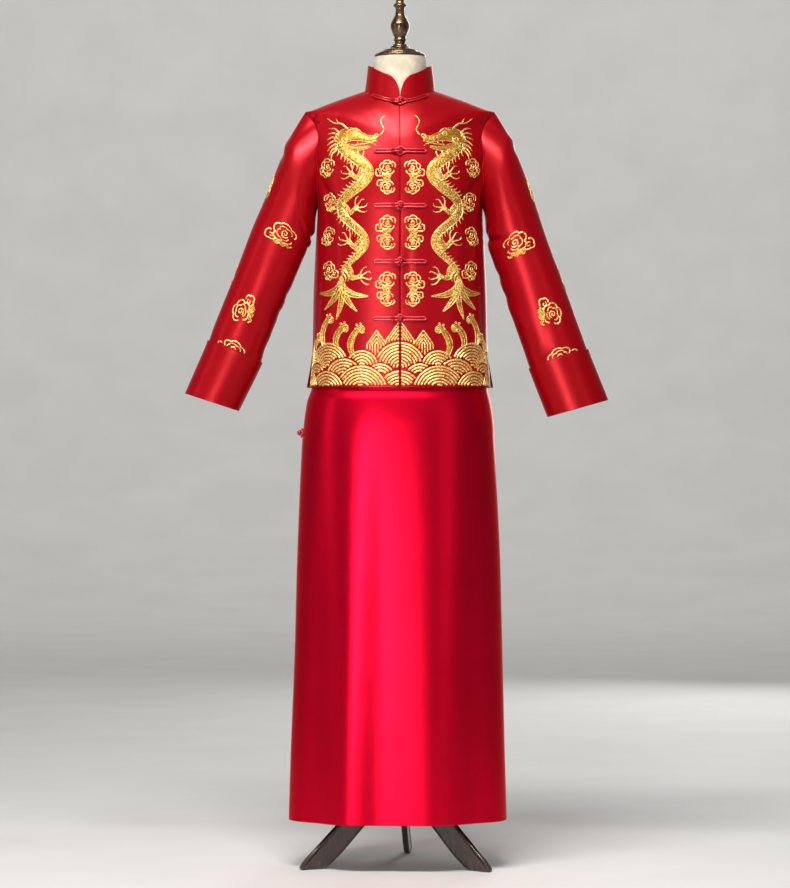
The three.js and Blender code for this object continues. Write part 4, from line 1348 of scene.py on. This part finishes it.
def dragon_head(work):
    """The head faces the centre front, with its mouth open, horns, mane, beard and whiskers."""
    skull = [(-0.04, -0.08), (0.10, 0.09), (0.32, 0.15), (0.56, 0.11), (0.78, 0.06), (0.97, 0.09)]
    jaw = [(0.08, -0.12), (0.32, -0.15), (0.58, -0.18), (0.82, -0.12)]
    work.form(on_head(skull), [20, 28, 27, 18, 13, 11], 1.5, 1.8, vein=False)
    work.form(on_head(jaw), [14, 11, 8, 3.5], 1.5, 1.6)
    work.stroke(spiral(on_head([(0.97, 0.14)])[0], 6, 1.1, -60), 2.6, height=2.6)
    work.stroke(spiral(on_head([(0.14, 0.03)])[0], 8.5, 1.3, 120), 2.4, height=2.6)
    for size in (5, 1.6):
        work.stroke(lobed_ring(on_head([(0.42, 0.18)])[0], size, 3, 0, 360), 1.7, height=3.0)
    work.stroke(on_head([(0.56, 0.23), (0.42, 0.30), (0.26, 0.25)]), 4, height=3.2)
    horn = [(0.22, 0.28), (0.03, 0.41), (-0.16, 0.42), (-0.34, 0.53)]
    tongue = [(0.44, -0.09), (0.62, -0.07), (0.84, -0.03), (0.97, -0.09)]
    work.stroke(on_head(horn), [6, 1.8], height=2.2)
    work.stroke(on_head([(-0.04, 0.42), (-0.12, 0.54)]), [3.4, 1.2], height=2.2)
    work.stroke(on_head(tongue), [3, 1.2], height=1.8)
    for ridge in range(3):
        x = 0.60 + 0.1 * ridge
        work.stroke(on_head([(x, 0.02), (x + 0.03, 0.08), (x, 0.15)]), 1.7, height=2.7)
    for tooth in range(4):
        x = 0.50 + 0.12 * tooth
        work.stroke(on_head([(x, 0.01), (x - 0.01, -0.06)]), [2.4, 0.8], height=1.6)
    for lock in range(7):
        root = np.array([0.0, 0.16 - 0.06 * lock])
        way = math.radians(158 + 14 * lock)
        tip = root + 0.34 * np.array([math.cos(way), math.sin(way)])
        flame(work, *on_head([root, tip]), 0.16, 5.4)
    for tuft in range(4):
        x = 0.26 + 0.14 * tuft
        flame(work, *on_head([(x, -0.22), (x - 0.07, -0.40)]), -0.14, 4)
    t = np.linspace(0, 1, 9)
    whisker = np.stack([1.02 + 0.12 * t + 0.07 * np.sin(2 * math.pi * t), 0.16 + 0.5 * t], -1)
    work.stroke(on_head(whisker), [2.8, 1.4])


def dragon_limbs(work):
    """Four legs at even shares of the body, to its two sides by turns, with tongues of fire behind."""
    line, width, side, ahead = dragon_line()
    for share, sense in DRAGON_LEGS:
        i = int(share * len(line))
        out = side[i] * sense
        knee = line[i] + out * 24 + ahead[i] * 8
        foot = knee + out * 11 - ahead[i] * 12
        limb(work, [line[i], (line[i] + knee) / 2 - ahead[i] * 3, knee, foot], 13, 5.5)
        shin = foot - knee
        talons(work, foot, math.degrees(math.atan2(shin[1], shin[0])), LEG_CLAW)
        for tongue in range(3):
            base = line[i] + out * width[i] * 0.4 + ahead[i] * (9 + 6 * tongue)
            flame(work, base, base + out * (20 - 3 * tongue) + ahead[i] * 11, -0.2 * sense, 5)


def dragon_clouds(work):
    """Clouds between the frogs at the centre front, and others down the body's outer side."""
    for high, low in zip(FROG_HEIGHTS, FROG_HEIGHTS[1:]):
        cloud(work, (24, (high + low) / 2 + 21), 16, 0, 1, 2.9, 2)
        cloud(work, (24, (high + low) / 2 - 19), 14, 0, -1, 2.7, 2)
    half_wave = DRAGON_LENGTH / DRAGON_BENDS / 2
    for number in range(4):
        height = DRAGON_TOP - half_wave * (number + 0.75)
        cloud(work, (152, height), 17, 180 * (number % 2), 1 - 2 * (number % 2), 3, 2)


def dragon_tail(work):
    """Plumes in an even fan from the tail's end."""
    line = dragon_line()[0]
    for number in range(TAIL_PLUMES):
        off_middle = number - (TAIL_PLUMES - 1) / 2
        bend = 0.08 * off_middle or 0.05
        length = 84 - 9 * abs(off_middle)
        plume = np.array([(0, 0), (0.3, -bend), (0.65, -bend * 0.4), (1.0, bend * 1.5)]) * length
        placed = line[-1] + turned_by(plume, PLUME_SPREAD * off_middle + PLUME_HEADING)
        work.form(placed, [5, 11, 12, 8, 0.8], height=1.4, rim=1.7)


# Rows of mounds in the sea, back to front: height, first place, spacing, and radii that take turns
MOUND_ROWS = ((990, 0, 76, (50, 34)), (966, 40, 74, (32, 42)), (940, 0, 78, (44, 54)))
MOUNDS = [
    (first + spacing * number, z, radii[number % 2])
    for z, first, spacing, radii in MOUND_ROWS
    for number in range(4)
]
RIPPLE_PITCH = 5.9


def sea_top(u):
    """The height of the highest mound at a distance from the centre front."""
    over = [z + math.sqrt(r**2 - (u - middle)**2) for middle, z, r in MOUNDS if abs(u - middle) < r]
    return max(over, default=MOUND_ROWS[-1][0])


def wave_mounds(work, mounds):
    """Overlapping mounds of round ripples. A mound hides what lies behind it in the list."""
    for number, (centre_u, centre_z, radius) in enumerate(mounds):
        hiding = mounds[number + 1:]
        for ring in range(int(radius / RIPPLE_PITCH)):
            r = radius - ring * RIPPLE_PITCH - 2.2
            if r < 2.5:
                continue
            angle = np.linspace(0, math.pi * 2, max(14, int(r * 1.6)))
            circle = np.stack([centre_u + r * np.cos(angle), centre_z + r * np.sin(angle)], -1)
            seen = np.ones(len(circle), bool)
            for u, z, other in hiding:
                seen &= np.hypot(circle[:, 0] - u, circle[:, 1] - z) > other + 1.2
            edges = np.flatnonzero(np.diff(np.concatenate([[0], seen.astype(int), [0]])))
            for start, stop in zip(edges[::2], edges[1::2]):
                if stop - start > 3:
                    work.stroke(circle[start:stop], 4.3, height=1.6, taper=False)


def crest(work, base, top, curl, width):
    """A wave's crest that rises from its base, curls over towards the centre front and throws foam."""
    base, top = np.asarray(base, float), np.asarray(top, float)
    lean = top - base
    across = np.array([lean[1], -lean[0]]) * 0.2
    middle = top - (curl, 0)
    curled = spiral(middle, curl, 1.2, 0)
    points = [base, base + lean * 0.35 + across * 0.8, base + lean * 0.7 + across * 0.7, *curled[::3]]
    widths = [width * 0.7, width * 1.1, width * 1.25, width * 1.1, width * 0.8, width * 0.5, 2.2]
    work.form(points, widths, height=1.5, rim=1.7)
    for foam, lift in ((0.25, 1.5), (0.9, 1.75), (1.5, 1.6)):
        spot = middle + curl * lift * np.array([math.cos(foam), math.sin(foam)])
        work.stroke(lobed_ring(spot, 1.7, 3, 0, 360), 1.8, height=1.6)


CREST_COUNT = 4
FIRST_CREST = 94
CREST_PITCH = 34
PEAKS = ((0, 27), (46, 19))  # middle and half width
PEAK_PITCH = 5.4
PEAK_SLOPE = 1.4


def mountain(work):
    """Half of a mountain of three peaks, each a nest of straight outlines that stand in the sea."""
    for middle, half in PEAKS:
        shoulder = 4 + max(sea_top(middle + share * half) for share in (-1, -0.5, 0, 0.5, 1))
        for level in range(int(half / PEAK_PITCH) + 1):
            reach = half - PEAK_PITCH * level
            apex = (middle, shoulder + PEAK_SLOPE * reach)
            for corner_u in (middle - reach, middle + reach):
                work.stroke([apex, (corner_u, shoulder)], 3.4, height=1.6, taper=False)
                foot = (corner_u, sea_top(corner_u) + 4)
                work.stroke([(corner_u, shoulder), foot], 3.4, height=1.6, taper=False)


def sea(work):
    """Crests at even places behind the mounds, all curled to the centre front, and the mountain."""
    for number in range(CREST_COUNT):
        u = FIRST_CREST + CREST_PITCH * number
        foot = sea_top(u) - 6
        crest(work, (u, foot), (u - 9, foot + 50 - 12 * (number % 2)), 8, 10)
    wave_mounds(work, MOUNDS)
    mountain(work)


def build_front_embroidery(name):
    place = front_maps[name]
    inside = lambda u, z: (u > 1.6) & (z > FrontMap.LOW + 1.5) & (u < place.side_edge(z) - 4)
    dragon = Needlework(place, inside)
    dragon_clouds(dragon)
    dragon_limbs(dragon)
    dragon_tail(dragon)
    dragon_body(dragon)
    dragon_head(dragon)
    waves = Needlework(place, inside)
    sea(waves)
    if name == "right":
        dragon.mirror()
        waves.mirror()
    dragon.pieces(f"embroidered_dragon_{name}")
    waves.pieces(f"embroidered_sea_{name}")


# Clouds on the sleeves: the turn round the sleeve in degrees, 90 at the front, and the section number
SLEEVE_CLOUDS = table(
    "turn s radius heading sense",
    (98, 3.75, 23, 0, 1),
    (74, 5.45, 19, 80, -1),
    (88, 6.98, 22, 20, 1),
    (262, 3.3, 22, 20, 1),
    (282, 4.9, 19, 100, -1),
    (258, 6.4, 20, 10, 1),
    (2, 2.6, 20, 60, 1),
    (350, 5.0, 19, -20, -1),
)


def build_sleeve_embroidery(name):
    """Clouds down the sleeve, each worked about its own middle. The cuff hides what lies under it."""
    sleeve = sleeves[name]
    ground = SleeveMap(sleeve)
    middle = [0.0, 0.0]
    place = lambda u, z, lift: ground(middle[0] - u, middle[1] - z, lift)
    above_cuff = lambda u, z: middle[1] - z < sleeve.distance(CUFF_TOP) - 1.5
    work = Needlework(place, above_cuff)
    for row in SLEEVE_CLOUDS:
        middle[0] = math.radians(row["turn"]) * SLEEVE_RADIUS
        middle[1] = float(sleeve.distance(row["s"]))
        cloud(work, (0, 0), row["radius"], row["heading"], row["sense"], 3.1)
    if name == "right":
        work.mirror()
    work.pieces(f"embroidered_clouds_{name}")


# The dress form and its stand

def ring_solid(name, rings, material):
    """A closed solid through rings of points, listed upwards."""
    return mesh_object(name, rings.reshape(-1, 3), ring_faces(*rings.shape[:2]), material)


def build_form():
    def ring(half_width, half_depth, z, roundness):
        return dict(side_x=half_width, side_z=z, front_y=-half_depth, front_z=z,
                    back_y=half_depth, back_z=z, round=roundness)

    hips = [ring(row["half_width"], row["half_depth"], row["z"], 2.3) for row in FORM_HIPS]
    neck = [FORM_NECK_BASE] + [ring(row["radius"], row["radius"], row["z"], 2) for row in FORM_NECK]
    rings = hips + inset_rings(JACKET[2:NECK], FORM_INSET) + neck
    form = Layer(rings, len(hips) + TIP - 2)
    angles = np.linspace(0, 2 * math.pi, 121)[:-1]
    s = np.concatenate([[0, 0.05], np.linspace(0.15, len(rings) - 1.02, 110), [len(rings) - 1]])
    torso = ring_solid("dress_form_linen", form.at(angles[None, :], s[:, None]), LINEN)
    finish_piece(torso, "linen", "dress_form")


def soften(outline, radius, steps=4):
    """An open outline with each corner rounded off."""
    outline = [np.array(point, float) for point in outline]
    rounded = [outline[0]]
    for before, corner, after in zip(outline, outline[1:], outline[2:]):
        back = before - corner
        on = after - corner
        back_reach = min(radius, np.linalg.norm(back) / 2.2)
        on_reach = min(radius, np.linalg.norm(on) / 2.2)
        start = corner + back / np.linalg.norm(back) * back_reach
        end = corner + on / np.linalg.norm(on) * on_reach
        for t in np.linspace(0, 1, steps):
            rounded.append(start * (1 - t) ** 2 + corner * 2 * t * (1 - t) + end * t**2)
    return np.array(rounded + [outline[-1]])


def turned(name, profile, radius, material, segments=96):
    """A turned solid. Its profile starts and ends on the axis."""
    outline = soften(profile, radius)[1:-1]
    angle = np.linspace(0, 2 * math.pi, segments + 1)[:-1]
    r = np.maximum(outline[:, 0], 0.05)
    rings = np.stack([
        r[:, None] * np.cos(angle)[None, :],
        r[:, None] * np.sin(angle)[None, :],
        np.broadcast_to(outline[:, 1:2], (len(outline), segments)),
    ], -1)
    return ring_solid(name, rings, material)


def build_leg(name, azimuth):
    upper = through([(LEG_INNER_END, LEG_ROOT_HIGH)] + LEG_UPPER, 6)
    lower = through(LEG_LOWER, 6)
    outline = np.vstack([upper, [(LEG_UPPER[-1][0] - 2, 0)], lower, [(LEG_INNER_END, LEG_ROOT_LOW)]])
    ahead = np.roll(outline, -1, axis=0) - np.roll(outline, 1, axis=0)
    ahead /= np.linalg.norm(ahead, axis=1, keepdims=True)
    inward = np.stack([ahead[:, 1], -ahead[:, 0]], -1)
    half = LEG_THICKNESS / 2
    # A rounded edge with a fine groove beside it on each face
    section = [(-half + 0.9, 5.4), (-half + 0.9, 4.6), (-half, 3.6)]
    section += [(-half, 1.6), (-half + 0.6, 0.5), (-half + 1.8, 0)]
    section += [(-y, inset) for y, inset in section[::-1]]
    rings = []
    turn = math.radians(azimuth)
    for y, inset in section:
        flat = outline + inward * inset
        flat[:, 0] = np.maximum(flat[:, 0], LEG_INNER_END)
        flat[:, 1] = np.maximum(flat[:, 1], 0)
        x = flat[:, 0] * math.cos(turn) - y * math.sin(turn)
        depth = flat[:, 0] * math.sin(turn) + y * math.cos(turn)
        rings.append(np.stack([x, depth, flat[:, 1]], -1))
    leg = ring_solid(f"leg_{name}_wood", np.array(rings), LACQUER)
    finish_piece(leg, "dark_lacquer", f"leg_{name}")


def build_stand():
    finish_piece(turned("neck_cap_turned", CAP_TURNING, 1.4, BRONZE), "bronze", "neck_cap")
    finish_piece(turned("finial_turned", FINIAL_TURNING, 3.0, BRONZE), "bronze", "finial")
    low = HUB["top"] + SEAM
    high = FORM_HIPS[0]["z"] - SEAM
    pole = [(0, low), (POLE_RADIUS, low), (POLE_RADIUS, high), (0, high)]
    finish_piece(turned("pole_turned", pole, 0.8, BRONZE, 48), "bronze", "pole")
    inner = HUB["radius"] - HUB["chamfer"]
    hub = [(0, HUB["bottom"]), (inner, HUB["bottom"]), (HUB["radius"], HUB["bottom"] + HUB["chamfer"])]
    hub += [(HUB["radius"], HUB["top"] - HUB["chamfer"]), (inner, HUB["top"]), (0, HUB["top"])]
    finish_piece(turned("hub_turned", hub, 2.0, LACQUER, 64), "dark_lacquer", "hub")
    for name, azimuth in LEG_AZIMUTHS.items():
        build_leg(name, azimuth)


# Floor, light and camera

STUDIO_RADIUS = 14.0
STUDIO_BEND = 5.0
STUDIO_HEIGHT = 12.0


def build_studio():
    """A pale floor that bends up into a round wall, wide enough for a look from any side."""
    flat = STUDIO_RADIUS - STUDIO_BEND
    profile = [(0.0005, 0.0), (flat, 0.0)]
    for t in np.linspace(0, math.pi / 2, 13)[1:]:
        profile.append((flat + STUDIO_BEND * math.sin(t), STUDIO_BEND * (1 - math.cos(t))))
    profile.append((STUDIO_RADIUS, STUDIO_HEIGHT))
    turns = np.linspace(0, 2 * math.pi, 96, endpoint=False)
    corners = [(r * math.cos(a), r * math.sin(a), z) for r, z in profile for a in turns]
    mesh = bpy.data.meshes.new("floor")
    mesh.from_pydata(corners, [], ring_faces(len(profile), len(turns), capped=False))
    mesh.shade_smooth()
    material, nodes, links, shader = new_material("pale_floor")
    body = object_coordinates(nodes, links, (1, 1, 1))
    stops = [(0.3, (0.60, 0.59, 0.57)), (0.7, (0.64, 0.63, 0.61))]
    links.new(ramp(nodes, links, noise(nodes, links, body, 3, 3), stops), shader.inputs["Base Color"])
    shader.inputs["Roughness"].default_value = 0.8
    mesh.materials.append(material)
    floor = bpy.data.objects.new("floor", mesh)
    bpy.context.scene.collection.objects.link(floor)


LIGHTS = table(
    "name place target width height power",
    ("key", (-0.95, -4.4, 0.85), (0.0, 0.0, 0.6), 0.6, 1.7, 72),
    ("fill", (2.6, -3.6, 1.5), (0.0, 0.0, 0.9), 0.5, 2.4, 8),
    ("side", (-3.4, -1.4, 1.8), (0.0, 0.0, 1.0), 0.5, 2.2, 9),
    ("top", (-0.55, -2.1, 3.7), (0.0, 0.0, 1.45), 2.4, 0.5, 200),
    ("back", (1.3, 4.4, 2.2), (0.0, 0.0, 1.0), 0.9, 2.8, 50),
    ("ceiling", (0.0, 0.0, 11.5), (0.0, 0.001, 0.0), 14.0, 14.0, 100),
    ("backdrop", (0.0, 8.5, 9.0), (0.0, 14.0, 1.5), 12.0, 1.5, 520),
    ("backdrop_behind", (0.0, -8.5, 9.0), (0.0, -14.0, 1.5), 12.0, 1.5, 100),
)


def aim(thing, place, target):
    direction = np.array(target, float) - np.array(place, float)
    yaw = math.atan2(direction[1], direction[0]) - math.pi / 2
    pitch = math.atan2(direction[2], math.hypot(direction[0], direction[1])) + math.pi / 2
    thing.location = place
    thing.rotation_euler = (pitch, 0, yaw)


def build_lights():
    for row in LIGHTS:
        lamp = bpy.data.lights.new(row["name"], "AREA")
        lamp.shape = "RECTANGLE"
        lamp.size = row["width"]
        lamp.size_y = row["height"]
        lamp.energy = row["power"]
        light = bpy.data.objects.new(row["name"], lamp)
        bpy.context.scene.collection.objects.link(light)
        light.visible_camera = False
        aim(light, row["place"], row["target"])
    world = bpy.data.worlds.new("studio")
    world.use_nodes = True
    background = world.node_tree.nodes["Background"]
    background.inputs["Color"].default_value = (0.92, 0.94, 1.0, 1)
    background.inputs["Strength"].default_value = 0.10
    bpy.context.scene.world = world


CAMERA_DISTANCE = 6.5
CAMERA_HEIGHT = 0.84
CAMERA_ASIDE = -0.010
CAMERA_LENS = 131.8


def build_camera():
    data = bpy.data.cameras.new("camera")
    data.lens = CAMERA_LENS
    data.sensor_width = 36
    camera = bpy.data.objects.new("camera", data)
    bpy.context.scene.collection.objects.link(camera)
    camera.location = (AXIS[0] + CAMERA_ASIDE, AXIS[1] - CAMERA_DISTANCE, CAMERA_HEIGHT)
    camera.rotation_euler = (math.pi / 2, 0, 0)
    bpy.context.scene.camera = camera
    bpy.context.scene.view_settings.view_transform = "Standard"


build_form()
build_robe()
build_jacket_body()
build_collar()
for side_name in SIDES:
    build_sleeve(side_name)
    build_cuff(side_name)
    build_front_embroidery(side_name)
    build_sleeve_embroidery(side_name)
build_frogs(front_maps)
build_stand()
build_studio()
build_lights()
build_camera()
